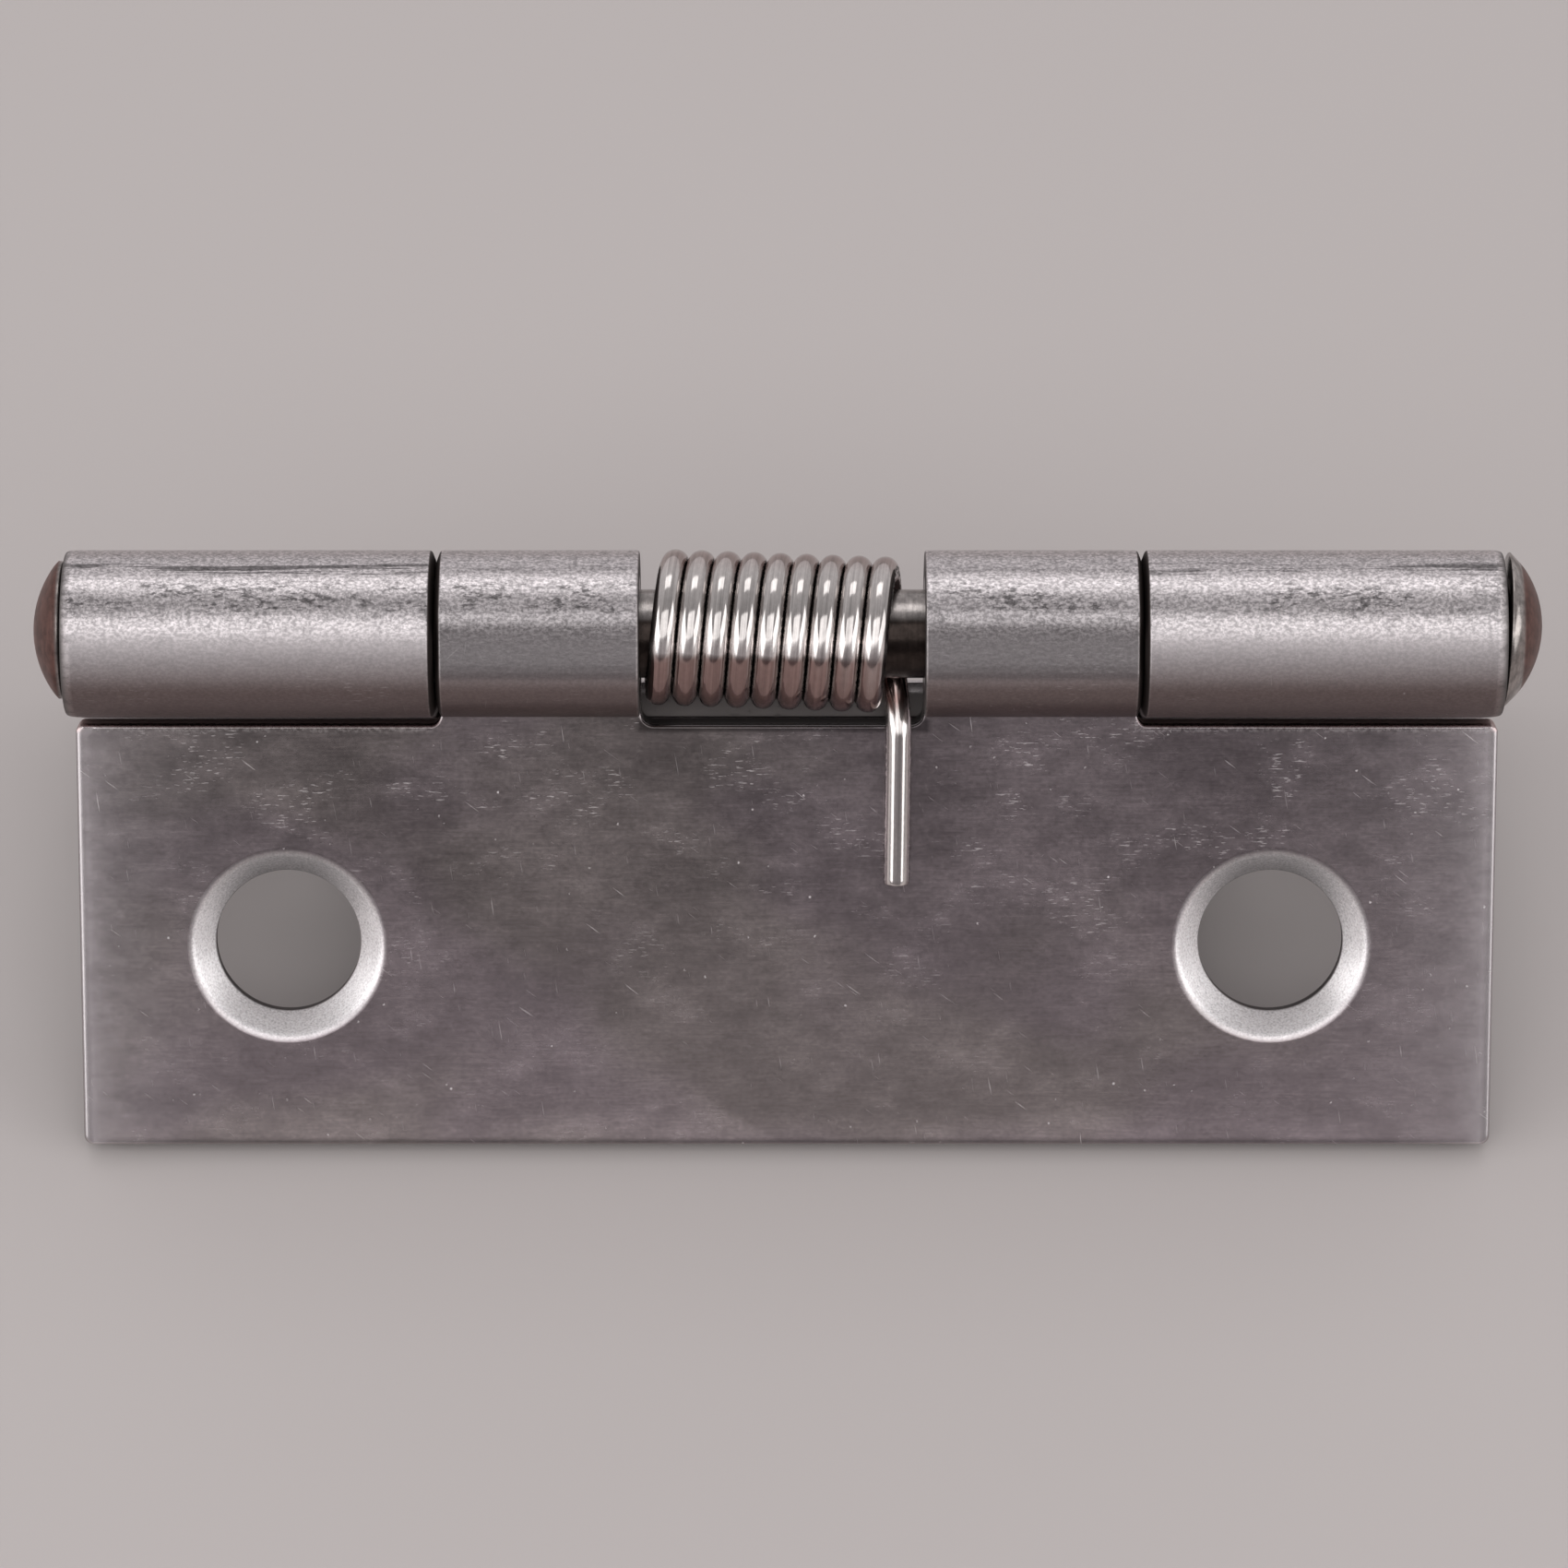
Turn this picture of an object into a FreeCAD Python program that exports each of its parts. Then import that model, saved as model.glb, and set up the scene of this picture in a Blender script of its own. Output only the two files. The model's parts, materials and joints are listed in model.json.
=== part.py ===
import FreeCAD, Part
import os
import math
import Sketcher

# Spring loaded door hinge: two curled sheet leaves on one riveted pin, with a torsion spring
# in the window between the middle knuckles. All sizes are in millimetres.
# The hinge is folded to its stop and stands like a tent on the free edges of its leaves.
# X runs along the pin, the door leaf faces -Y and the origin lies on the floor under the pin.

sizes = {
    "leaf_length": 76.0,
    "leaf_reach": 28.7,
    "sheet_thickness": 2.0,
    "corner_radius": 0.4,
    "broken_edge": 0.2,
    "pin_diameter": 4.7,
    "pin_clearance": 0.08,
    "seam_gap": 0.2,
    "notch_clearance": 1.18,
    "notch_corner": 0.7,
    "stop_gap": 0.1,
    "window_middle": -0.1,
    "door_left_knuckle": 10.4,
    "door_right_knuckle": 11.25,
    "left_play": 0.6,
    "right_play": 0.45,
    "door_leaf_shift": 0.2,
    "door_hole_shift": -0.25,
    "hole_inset": 11.5,
    "hole_distance": 17.6,
    "hole_diameter": 7.8,
    "countersink_diameter": 10.0,
    "countersink_angle": 90.0,
    "left_head_diameter": 7.3,
    "left_head_height": 1.65,
    "left_head_flank": 0.35,
    "left_head_gap": 0.1,
    "right_head_diameter": 8.1,
    "right_head_height": 1.85,
    "right_head_flank": 0.7,
    "right_head_taper": 0.3,
    "right_head_gap": 0.3,
    "wire_diameter": 1.38,
    "wire_sides": 10.0,
    "coil_diameter": 8.3,
    "coil_pitch": 1.39,
    "coil_whole_turns": 8.0,
    "coil_left_gap": 0.35,
    "coil_right_gap": 1.13,
    "coil_pin_gap": 0.06,
    "leg_gap": 0.06,
    "leg_bend_angle": 16.0,
    "leg_bend_radius": 3.0,
    "leg_reach": 14.0,
    "leg_drift": 0.1,
}

doc = FreeCAD.newDocument("door_hinge")
sheet = doc.addObject("Spreadsheet::Sheet", "Sizes")
for row, (alias, value) in enumerate(sizes.items(), start=1):
    sheet.set(f"A{row}", alias)
    sheet.set(f"B{row}", str(value))
    sheet.setAlias(f"B{row}", alias)
doc.recompute()

# Sizes that follow from the driving ones, as expressions and as numbers.
bore_radius = "(Sizes.pin_diameter / 2 + Sizes.pin_clearance)"
barrel_radius = f"({bore_radius} + Sizes.sheet_thickness)"
notch_distance = f"({barrel_radius} + Sizes.notch_clearance)"
leaf_end = "(Sizes.leaf_length / 2)"
half_hole_spacing = f"({leaf_end} - Sizes.hole_inset)"
# The leaves stop where each notch edge meets the back of the other leaf.
# Half of the angle between the leaves then follows from the notch and the sheet's place.
notch_diagonal = f"sqrt({notch_distance} ^ 2 + {barrel_radius} ^ 2)"
stop_tilt = (
    f"(acos(({barrel_radius} + Sizes.stop_gap) / {notch_diagonal})"
    f" - atan({barrel_radius} / {notch_distance}))"
)
leaf_slope = f"(45 deg + {stop_tilt} / 2)"


def number(expression):
    """The value of an expression of the sheet's cells, in millimetres or degrees."""
    result = sheet.evalExpression(expression)
    return getattr(result, "Value", result)


def plane(body, role):
    """One of the body's own origin planes."""
    return next(feature for feature in body.Origin.OriginFeatures if feature.Role == role)


def new_sketch(body, name, role):
    """An empty sketch on one of the body's origin planes."""
    sketch = body.newObject("Sketcher::SketchObject", name)
    sketch.AttachmentSupport = [(plane(body, role), "")]
    sketch.MapMode = "FlatFace"
    return sketch


def hold(sketch, kind, *where, size=None, start=None):
    """Adds a constraint. A size is an expression that the constraint stays bound to."""
    if size is None:
        return sketch.addConstraint(Sketcher.Constraint(kind, *where))
    index = sketch.addConstraint(Sketcher.Constraint(kind, *where, start))
    sketch.setExpression(f"Constraints[{index}]", size)
    return index


def chain(sketch, points):
    """A closed outline of straight lines through the points, joined at their ends."""
    count = len(points)
    vectors = [FreeCAD.Vector(x, y, 0) for x, y in points]
    lines = [
        sketch.addGeometry(Part.LineSegment(vectors[i], vectors[(i + 1) % count]), False)
        for i in range(count)
    ]
    for i in range(count):
        hold(sketch, "Coincident", lines[i], 2, lines[(i + 1) % count], 1)
    return lines


def rectangle(sketch, left, right, low, high):
    """A rectangle between four expressions, each measured from the sketch's origin."""
    x_left, x_right, y_low, y_high = (number(value) for value in (left, right, low, high))
    lines = chain(sketch, [(x_left, y_low), (x_right, y_low), (x_right, y_high), (x_left, y_high)])
    for line, kind in zip(lines, ("Horizontal", "Vertical", "Horizontal", "Vertical")):
        hold(sketch, kind, line)
    hold(sketch, "DistanceX", -1, 1, lines[0], 1, size=left, start=x_left)
    hold(sketch, "DistanceX", -1, 1, lines[0], 2, size=right, start=x_right)
    hold(sketch, "DistanceY", -1, 1, lines[0], 1, size=low, start=y_low)
    hold(sketch, "DistanceY", -1, 1, lines[2], 1, size=high, start=y_high)


def edge_names(feature, test):
    """Names of the feature's edges for which the test holds."""
    return [f"Edge{i}" for i, edge in enumerate(feature.Shape.Edges, start=1) if test(edge)]


def near(value, target):
    return abs(value - target) < 1e-4


def curled_profile(body, side):
    """The sheet's section: a flat leaf that runs on from the barrel and curls round the pin.

    side is -1 for a leaf that lies towards -Y and 1 for one towards +Y. The countersunk face
    is level with the bore and the back face is level with the barrel's outside.
    """
    bore = number(bore_radius)
    barrel = number(barrel_radius)
    reach = number("Sizes.leaf_reach")
    lip = math.asin((bore - number("Sizes.seam_gap")) / barrel)
    sketch = new_sketch(body, "profile", "YZ_Plane")
    centre = FreeCAD.Vector(0, 0, 0)
    up = FreeCAD.Vector(0, 0, 1)
    first, last = (-math.pi / 2, math.pi + lip) if side < 0 else (-lip, 1.5 * math.pi)
    root, tip = (1, 2) if side < 0 else (2, 1)

    outer = sketch.addGeometry(Part.ArcOfCircle(Part.Circle(centre, up, barrel), first, last), False)
    inner = sketch.addGeometry(Part.ArcOfCircle(Part.Circle(centre, up, bore), first, last), False)
    lip_out = FreeCAD.Vector(side * barrel * math.cos(lip), -barrel * math.sin(lip), 0)
    lip_in = FreeCAD.Vector(side * bore * math.cos(lip), -bore * math.sin(lip), 0)
    back_start = FreeCAD.Vector(0, -barrel, 0)
    back_end = FreeCAD.Vector(side * reach, -barrel, 0)
    front_end = FreeCAD.Vector(side * reach, -bore, 0)
    front_start = FreeCAD.Vector(0, -bore, 0)
    lip_edge = sketch.addGeometry(Part.LineSegment(lip_out, lip_in), False)
    back = sketch.addGeometry(Part.LineSegment(back_start, back_end), False)
    free_edge = sketch.addGeometry(Part.LineSegment(back_end, front_end), False)
    front = sketch.addGeometry(Part.LineSegment(front_end, front_start), False)

    for arc, size, start in ((outer, barrel_radius, barrel), (inner, bore_radius, bore)):
        hold(sketch, "Coincident", arc, 3, -1, 1)
        hold(sketch, "Radius", arc, size=size, start=start)
    hold(sketch, "Tangent", outer, root, back, 1)
    hold(sketch, "Tangent", inner, root, front, 2)
    hold(sketch, "Coincident", outer, tip, lip_edge, 1)
    hold(sketch, "Coincident", inner, tip, lip_edge, 2)
    hold(sketch, "PointOnObject", -1, 1, lip_edge)
    hold(sketch, "Coincident", back, 2, free_edge, 1)
    hold(sketch, "Coincident", free_edge, 2, front, 1)
    hold(sketch, "Horizontal", front)
    hold(sketch, "Horizontal", back)
    hold(sketch, "Vertical", free_edge)
    reach_ends = ((-1, 1), (back, 2)) if side > 0 else ((back, 2), (-1, 1))
    hold(sketch, "DistanceX", *reach_ends[0], *reach_ends[1], size="Sizes.leaf_reach", start=reach)
    gap = number("Sizes.seam_gap")
    hold(sketch, "DistanceY", front, 2, lip_edge, 1, size="Sizes.seam_gap", start=gap)
    return sketch


def curled_leaf(name, side, middle, notches, hole_middle):
    """A leaf lying flat with its countersunk face up: side, the X of its middle, its notches
    as pairs of X expressions (None where a notch runs out over the leaf's end) and the X of
    the middle of its two holes."""
    body = doc.addObject("PartDesign::Body", name)
    body.Label = name

    blank = body.newObject("PartDesign::Pad", "blank")
    blank.Profile = curled_profile(body, side)
    blank.SideType = "Two sides"
    blank.setExpression("Length", f"{leaf_end} + {middle}")
    blank.setExpression("Length2", f"{leaf_end} - {middle}")
    doc.recompute()

    # The notches leave the knuckles: each is open over the barrel and ends in the leaf.
    sketch = new_sketch(body, "notch_outlines", "XY_Plane")
    notch_edge = f"{side} * {notch_distance}"
    past_barrel = f"-{side} * {notch_distance}"
    low, high = sorted((notch_edge, past_barrel), key=number)
    past_end = f"({leaf_end} + Sizes.sheet_thickness)"
    for left, right in notches:
        rectangle(sketch, left or f"-{past_end}", right or past_end, low, high)
    notch_cut = body.newObject("PartDesign::Pocket", "notches")
    notch_cut.Profile = sketch
    notch_cut.Type = "ThroughAll"
    notch_cut.SideType = "Symmetric"
    doc.recompute()

    inner_corners = [number(x) for pair in notches for x in pair if x]
    edge_y = number(notch_edge)
    rounded = body.newObject("PartDesign::Fillet", "notch_corners")
    rounded.Base = (
        notch_cut,
        edge_names(
            notch_cut,
            lambda e: near(e.BoundBox.YLength, 0)
            and near(e.BoundBox.XLength, 0)
            and near(e.BoundBox.YMin, edge_y)
            and any(near(e.BoundBox.XMin, x) for x in inner_corners),
        ),
    )
    rounded.setExpression("Radius", "Sizes.notch_corner")
    doc.recompute()

    free_y = side * number("Sizes.leaf_reach")
    leaf_corners = body.newObject("PartDesign::Fillet", "leaf_corners")
    leaf_corners.Base = (
        rounded,
        edge_names(
            rounded,
            lambda e: near(e.BoundBox.YLength, 0)
            and near(e.BoundBox.XLength, 0)
            and near(e.BoundBox.YMin, free_y),
        ),
    )
    leaf_corners.setExpression("Radius", "Sizes.corner_radius")
    doc.recompute()

    # The sheet's edges are broken: round the leaf's two faces and on round the knuckles' ends.
    front_z = -number(bore_radius)
    back_z = -number(barrel_radius)
    barrel = number(barrel_radius)

    def on_sheet_edge(edge):
        box = edge.BoundBox
        in_face = near(box.ZLength, 0) and (near(box.ZMin, back_z) or near(box.ZMin, front_z))
        along_pin = near(box.YLength, 0) and near(box.ZLength, 0)
        if along_pin:
            return in_face and (near(box.YMin, free_y) or near(box.YMin, edge_y))
        return in_face or (near(box.XLength, 0) and near(box.ZMax, barrel))

    broken = body.newObject("PartDesign::Chamfer", "broken_edges")
    broken.Base = (leaf_corners, edge_names(leaf_corners, on_sheet_edge))
    broken.setExpression("Size", "Sizes.broken_edge")
    doc.recompute()

    # Two countersunk screw holes, sunk from the face on the spring's side.
    holes = new_sketch(body, "hole_centres", "XY_Plane")
    holes.setExpression("AttachmentOffset.Base.z", f"-{bore_radius}")
    row = number("Sizes.hole_distance")
    radius = number("Sizes.hole_diameter / 2")
    for direction in (-1, 1):
        place = f"{hole_middle} + {direction} * {half_hole_spacing}"
        centre = FreeCAD.Vector(number(place), side * row, 0)
        circle = holes.addGeometry(Part.Circle(centre, FreeCAD.Vector(0, 0, 1), radius), False)
        hold(holes, "DistanceX", -1, 1, circle, 3, size=place, start=centre.x)
        hold(holes, "DistanceY", -1, 1, circle, 3, size=f"{side} * Sizes.hole_distance", start=centre.y)
        hold(holes, "Radius", circle, size="Sizes.hole_diameter / 2", start=radius)
    doc.recompute()
    drilled = body.newObject("PartDesign::Hole", "screw_holes")
    drilled.Profile = holes
    drilled.DepthType = "ThroughAll"
    drilled.setExpression("Diameter", "Sizes.hole_diameter")
    drilled.HoleCutType = "Countersink"
    drilled.setExpression("HoleCutDiameter", "Sizes.countersink_diameter")
    drilled.setExpression("HoleCutCountersinkAngle", "Sizes.countersink_angle")
    doc.recompute()

    # The leaf leans from flat to its stop and the pin's axis goes up to its height.
    body.Placement = FreeCAD.Placement(
        FreeCAD.Vector(0, 0, 0), FreeCAD.Rotation(FreeCAD.Vector(-side, 0, 0), 1)
    )
    body.setExpression("Placement.Rotation.Angle", leaf_slope)
    body.setExpression("Placement.Base.z", axis_height)
    return body


# The leaf stands on its free edge, on the lower corner of the broken edge of its back.
axis_height = (
    f"(Sizes.leaf_reach * sin({leaf_slope})"
    f" + ({barrel_radius} - Sizes.broken_edge) * cos({leaf_slope}))"
)

# The coil's turns, up to where the wire's direction makes the bend's angle with each leaf.
coil_turns = f"(Sizes.coil_whole_turns + 1 - ({leaf_slope} - Sizes.leg_bend_angle * 1 deg) / (180 deg))"
coil_length = f"(Sizes.coil_pitch * {coil_turns})"

# The window takes the coil with a gap at each end. The door leaf's knuckles stand beside it,
# and the frame leaf's run from them to the leaf's ends.
window_width = (
    f"(Sizes.coil_left_gap + Sizes.wire_diameter + {coil_length} + Sizes.coil_right_gap)"
)
window_left = f"(Sizes.window_middle - {window_width} / 2)"
window_right = f"(Sizes.window_middle + {window_width} / 2)"
door_left = f"({window_left} - Sizes.door_left_knuckle)"
door_right = f"({window_right} + Sizes.door_right_knuckle)"
frame_left = f"({door_left} - Sizes.left_play)"
frame_right = f"({door_right} + Sizes.right_play)"

frame_leaf = curled_leaf("frame_leaf", 1, "0", [(frame_left, frame_right)], "0")
door_leaf = curled_leaf(
    "door_leaf",
    -1,
    "Sizes.door_leaf_shift",
    [(None, door_left), (window_left, window_right), (door_right, None)],
    "Sizes.door_hole_shift",
)


def rivet_pin():
    """The pin: a plain shank with a domed, riveted head at the left and a formed head with a
    tapered flank at the right. Its half outline is turned about the shank's axis."""
    body = doc.addObject("PartDesign::Body", "hinge_pin")
    body.Label = "hinge_pin"
    sketch = new_sketch(body, "half_outline", "XZ_Plane")
    shank = number("Sizes.pin_diameter / 2")
    left_seat = f"(-{leaf_end} - Sizes.left_head_gap)"
    right_seat = f"({leaf_end} + Sizes.right_head_gap)"
    corners = [
        (f"{left_seat} - Sizes.left_head_flank", "Sizes.left_head_diameter / 2"),
        (left_seat, "Sizes.left_head_diameter / 2"),
        (left_seat, "Sizes.pin_diameter / 2"),
        (right_seat, "Sizes.pin_diameter / 2"),
        (right_seat, "Sizes.right_head_diameter / 2"),
        (f"{right_seat} + Sizes.right_head_flank",
         "Sizes.right_head_diameter / 2 - Sizes.right_head_taper"),
    ]
    tips = (
        f"{left_seat} - Sizes.left_head_height",
        f"{right_seat} + Sizes.right_head_height",
    )
    vectors = [FreeCAD.Vector(number(x), number(z), 0) for x, z in corners]
    left_tip, right_tip = (FreeCAD.Vector(number(x), 0, 0) for x in tips)
    lines = [
        sketch.addGeometry(Part.LineSegment(start, end), False)
        for start, end in zip(vectors, vectors[1:])
    ]
    for first, second in zip(lines, lines[1:]):
        hold(sketch, "Coincident", first, 2, second, 1)
    for line, (x, z), vector in zip(lines, corners, vectors):
        hold(sketch, "DistanceX", -1, 1, line, 1, size=x, start=vector.x)
        hold(sketch, "DistanceY", -1, 1, line, 1, size=z, start=vector.y)
    hold(sketch, "DistanceX", -1, 1, lines[-1], 2, size=corners[-1][0], start=vectors[-1].x)
    hold(sketch, "DistanceY", -1, 1, lines[-1], 2, size=corners[-1][1], start=vectors[-1].y)

    axis_line = sketch.addGeometry(Part.LineSegment(left_tip, right_tip), False)
    hold(sketch, "PointOnObject", axis_line, 1, -1)
    hold(sketch, "PointOnObject", axis_line, 2, -1)
    hold(sketch, "DistanceX", -1, 1, axis_line, 1, size=tips[0], start=left_tip.x)
    hold(sketch, "DistanceX", -1, 1, axis_line, 2, size=tips[1], start=right_tip.x)

    # Each dome is an arc centred on the axis, through its tip and the top of its flank.
    for tip, rim in ((left_tip, vectors[0]), (right_tip, vectors[-1])):
        across = rim.x - tip.x
        radius = (across ** 2 + rim.y ** 2) / (2 * across)
        centre = FreeCAD.Vector(tip.x + radius, 0, 0)
        rim_angle = math.atan2(rim.y, rim.x - centre.x)
        circle = Part.Circle(centre, FreeCAD.Vector(0, 0, 1), abs(radius))
        turned_left = tip is left_tip
        span = (rim_angle, math.pi) if turned_left else (0, rim_angle)
        arc = sketch.addGeometry(Part.ArcOfCircle(circle, *span), False)
        rim_end, tip_end = (1, 2) if turned_left else (2, 1)
        line, line_end = (lines[0], 1) if turned_left else (lines[-1], 2)
        hold(sketch, "Coincident", arc, rim_end, line, line_end)
        hold(sketch, "Coincident", arc, tip_end, axis_line, 1 if turned_left else 2)
        hold(sketch, "PointOnObject", arc, 3, -1)

    turned = body.newObject("PartDesign::Revolution", "turned_pin")
    turned.Profile = sketch
    turned.ReferenceAxis = (sketch, ["H_Axis"])
    turned.Angle = 360
    body.setExpression("Placement.Base.z", axis_height)
    doc.recompute()
    return body


hinge_pin = rivet_pin()


def bent_corner(before, corner, after, radius):
    """The arc that rounds a corner of the wire: its start, its middle and its end."""
    back = (before - corner).normalize()
    ahead = (after - corner).normalize()
    half = back.getAngle(ahead) / 2
    bisector = (back + ahead).normalize()
    centre = corner + bisector * (radius / math.sin(half))
    along = radius / math.tan(half)
    return corner + back * along, centre - bisector * radius, corner + ahead * along


def spring_path():
    """The line that the middle of the spring's wire follows, as one wire of edges.

    The coil advances to the right while it goes up the front, over the top and down the back,
    so it is left-handed. Each leg leaves the coil in a straight line, passes over its leaf's
    notch edge, bends and lies along the leaf's countersunk face. The legs' push holds each end
    of the coil against the pin, away from that leaf, so the coil leans a little.
    """
    slope = math.radians(number(leaf_slope))
    coil_radius = (number("Sizes.coil_diameter") - number("Sizes.wire_diameter")) / 2
    wire = number("Sizes.wire_diameter") / 2
    pin = number("Sizes.pin_diameter / 2")
    push = coil_radius - wire - pin - number("Sizes.coil_pin_gap")
    bend = math.radians(number("Sizes.leg_bend_angle"))
    pitch = number("Sizes.coil_pitch")
    leg_height = -number(bore_radius) + wire + number("Sizes.leg_gap")

    # Along a leaf, down from the pin, and square to it, out of its countersunk face.
    downs = {side: FreeCAD.Vector(0, side * math.cos(slope), -math.sin(slope)) for side in (1, -1)}
    outs = {side: FreeCAD.Vector(0, side * math.sin(slope), math.cos(slope)) for side in (1, -1)}

    length = number(coil_length)
    left = number(window_left) + number("Sizes.coil_left_gap") + wire
    left_middle = FreeCAD.Vector(left, 0, 0) + outs[1] * push
    right_middle = FreeCAD.Vector(left + length, 0, 0) + outs[-1] * push
    axis = (right_middle - left_middle).normalize()
    start = downs[1] * math.sin(bend) - outs[1] * math.cos(bend)
    start = (start - axis * start.dot(axis)).normalize()
    helix = Part.makeHelix(pitch, length, coil_radius, 0, True)
    matrix = FreeCAD.Matrix()
    across = axis.cross(start)
    for column, vector in enumerate((start, across, axis)):
        for row, value in enumerate(vector):
            setattr(matrix, f"A{row + 1}{column + 1}", value)
    helix.Placement = FreeCAD.Placement(left_middle, FreeCAD.Rotation(matrix))

    def leg(point, direction, side, drift):
        """A leg's edges, from the coil's end to the leg's tip."""
        down = downs[side]
        out = outs[side]
        to_face = (leg_height - point.dot(out)) / direction.dot(out)
        corner = point + direction * to_face
        tip = corner + down * (number("Sizes.leg_reach") - corner.dot(down))
        tip.x += drift
        bend_start, bend_middle, bend_end = bent_corner(
            point, corner, tip, number("Sizes.leg_bend_radius")
        )
        return [
            Part.LineSegment(point, bend_start).toShape(),
            Part.Arc(bend_start, bend_middle, bend_end).toShape(),
            Part.LineSegment(bend_end, tip).toShape(),
        ]

    coil = helix.Edges
    first, last = coil[0], coil[-1]
    start_point = first.valueAt(first.FirstParameter)
    start_way = first.tangentAt(first.FirstParameter)
    end_point = last.valueAt(last.LastParameter)
    end_way = last.tangentAt(last.LastParameter)
    drift = number("Sizes.leg_drift")
    left_leg = leg(start_point, start_way * -1, 1, drift)
    right_leg = leg(end_point, end_way, -1, -drift)
    return Part.Wire(Part.__sortEdges__(left_leg[::-1] + coil + right_leg))


path = doc.addObject("Part::Feature", "spring_path")
path.Shape = spring_path()
path_start = path.Shape.OrderedEdges[0]
# The round wire's section is a many-sided outline of the same area, so that the coil stays light.
same_area = "sqrt(2 * pi / (Sizes.wire_sides * sin(360 deg / Sizes.wire_sides)))"
section = doc.addObject("Part::RegularPolygon", "wire_section")
section.setExpression("Polygon", "Sizes.wire_sides")
section.setExpression("Circumradius", f"Sizes.wire_diameter / 2 * {same_area}")
section.Placement = FreeCAD.Placement(
    path_start.valueAt(path_start.FirstParameter),
    FreeCAD.Rotation(FreeCAD.Vector(0, 0, 1), path_start.tangentAt(path_start.FirstParameter)),
)
torsion_spring = doc.addObject("Part::Sweep", "torsion_spring")
torsion_spring.Label = "torsion_spring"
torsion_spring.Sections = [section]
torsion_spring.Spine = (path, [f"Edge{i + 1}" for i in range(len(path.Shape.Edges))])
torsion_spring.Solid = True
torsion_spring.Frenet = False
doc.recompute()
torsion_spring.setExpression("Placement.Base.z", axis_height)
doc.recompute()

for item in doc.Objects:
    if "Invalid" in item.State or "Error" in item.State:
        raise RuntimeError(f"{item.Label} failed: {item.State}")

os.makedirs("parts", exist_ok=True)
for part in (frame_leaf, door_leaf, hinge_pin, torsion_spring):
    if part.Shape.isNull() or not part.Shape.isValid():
        raise RuntimeError(f"{part.Label} has no valid shape")
    part.Shape.exportStep(f"parts/{part.Label}.step")
    print(part.Label, "volume", round(part.Shape.Volume, 2), "mm3")
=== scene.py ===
import bpy
import json
import math
import numpy as np
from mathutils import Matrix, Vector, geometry


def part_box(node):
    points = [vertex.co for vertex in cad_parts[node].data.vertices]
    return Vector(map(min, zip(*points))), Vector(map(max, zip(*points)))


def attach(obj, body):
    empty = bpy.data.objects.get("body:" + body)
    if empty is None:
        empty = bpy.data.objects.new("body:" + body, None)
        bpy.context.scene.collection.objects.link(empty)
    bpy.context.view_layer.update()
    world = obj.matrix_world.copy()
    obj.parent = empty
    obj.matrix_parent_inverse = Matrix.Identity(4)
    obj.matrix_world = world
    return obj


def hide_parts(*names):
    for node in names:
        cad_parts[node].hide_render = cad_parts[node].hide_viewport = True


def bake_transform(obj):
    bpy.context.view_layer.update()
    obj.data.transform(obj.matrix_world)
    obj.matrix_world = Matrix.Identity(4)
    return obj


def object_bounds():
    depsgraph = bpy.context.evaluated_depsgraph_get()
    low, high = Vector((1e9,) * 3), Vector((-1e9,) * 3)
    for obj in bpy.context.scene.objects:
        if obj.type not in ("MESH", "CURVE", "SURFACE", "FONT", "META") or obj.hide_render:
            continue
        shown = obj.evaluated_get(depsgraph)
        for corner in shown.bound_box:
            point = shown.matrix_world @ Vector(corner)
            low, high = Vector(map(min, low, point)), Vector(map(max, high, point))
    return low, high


# Spring loaded door hinge, folded to its stop and standing like a tent on a pale floor.
# X runs along the pin, -Y is the side that the camera sees, and all lengths are in metres.

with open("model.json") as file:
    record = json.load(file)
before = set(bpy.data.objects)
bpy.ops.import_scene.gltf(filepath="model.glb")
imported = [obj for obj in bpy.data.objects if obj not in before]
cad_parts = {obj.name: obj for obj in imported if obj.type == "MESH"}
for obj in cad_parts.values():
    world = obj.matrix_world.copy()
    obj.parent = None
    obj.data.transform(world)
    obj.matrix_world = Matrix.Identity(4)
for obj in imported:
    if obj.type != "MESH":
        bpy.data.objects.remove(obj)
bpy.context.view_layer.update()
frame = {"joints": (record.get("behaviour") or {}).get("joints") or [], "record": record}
print("stage: frame loaded")

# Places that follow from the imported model.
pinAxis = np.array(frame["joints"][0]["pos_m"], float)
holeMounts = {mount["name"]: mount for mount in frame["record"]["mounts"]}
frameOut = np.array(holeMounts["frame_leaf_holes"]["axis"], float)
leafSlope = math.atan2(frameOut[1], frameOut[2])
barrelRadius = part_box("frame_leaf")[1].z - pinAxis[2]

perMetre = 1000  # the materials count in millimetres
weldSteps = 1e7  # per metre: points that round to the same step become one
roundShare = 0.3  # of its radius, by which a rounded edge's middle point stands in


def leafDown(side):
    # Unit vector along a leaf, from the pin to its free edge. side is 1 behind and -1 in front.
    return np.array([0.0, side * math.cos(leafSlope), -math.sin(leafSlope)])


def leafOut(side):
    # Unit vector square to a leaf, out of its countersunk face.
    return np.array([0.0, side * math.sin(leafSlope), math.cos(leafSlope)])


def ramp(value, low, high):
    # 0 up to low, 1 from high on and straight between; falls instead where low is the larger.
    return np.clip((value - low) / (high - low), 0, 1)


def fullTurn(steps):
    # Angles of a full turn in even steps, without the last one, which would be the first again.
    return np.linspace(0, 2 * math.pi, steps, endpoint=False)


def gridFaces(rows, columns, flip=False):
    # Quads between neighbouring rows of a grid of points whose last column joins on to the first.
    row, column = np.meshgrid(np.arange(rows - 1), np.arange(columns), indexing="ij")
    after = (column + 1) % columns
    quads = np.stack([row * columns + column, row * columns + after,
                      (row + 1) * columns + after, (row + 1) * columns + column], axis=-1)
    quads = quads.reshape(-1, 4)
    return quads[:, ::-1] if flip else quads


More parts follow.
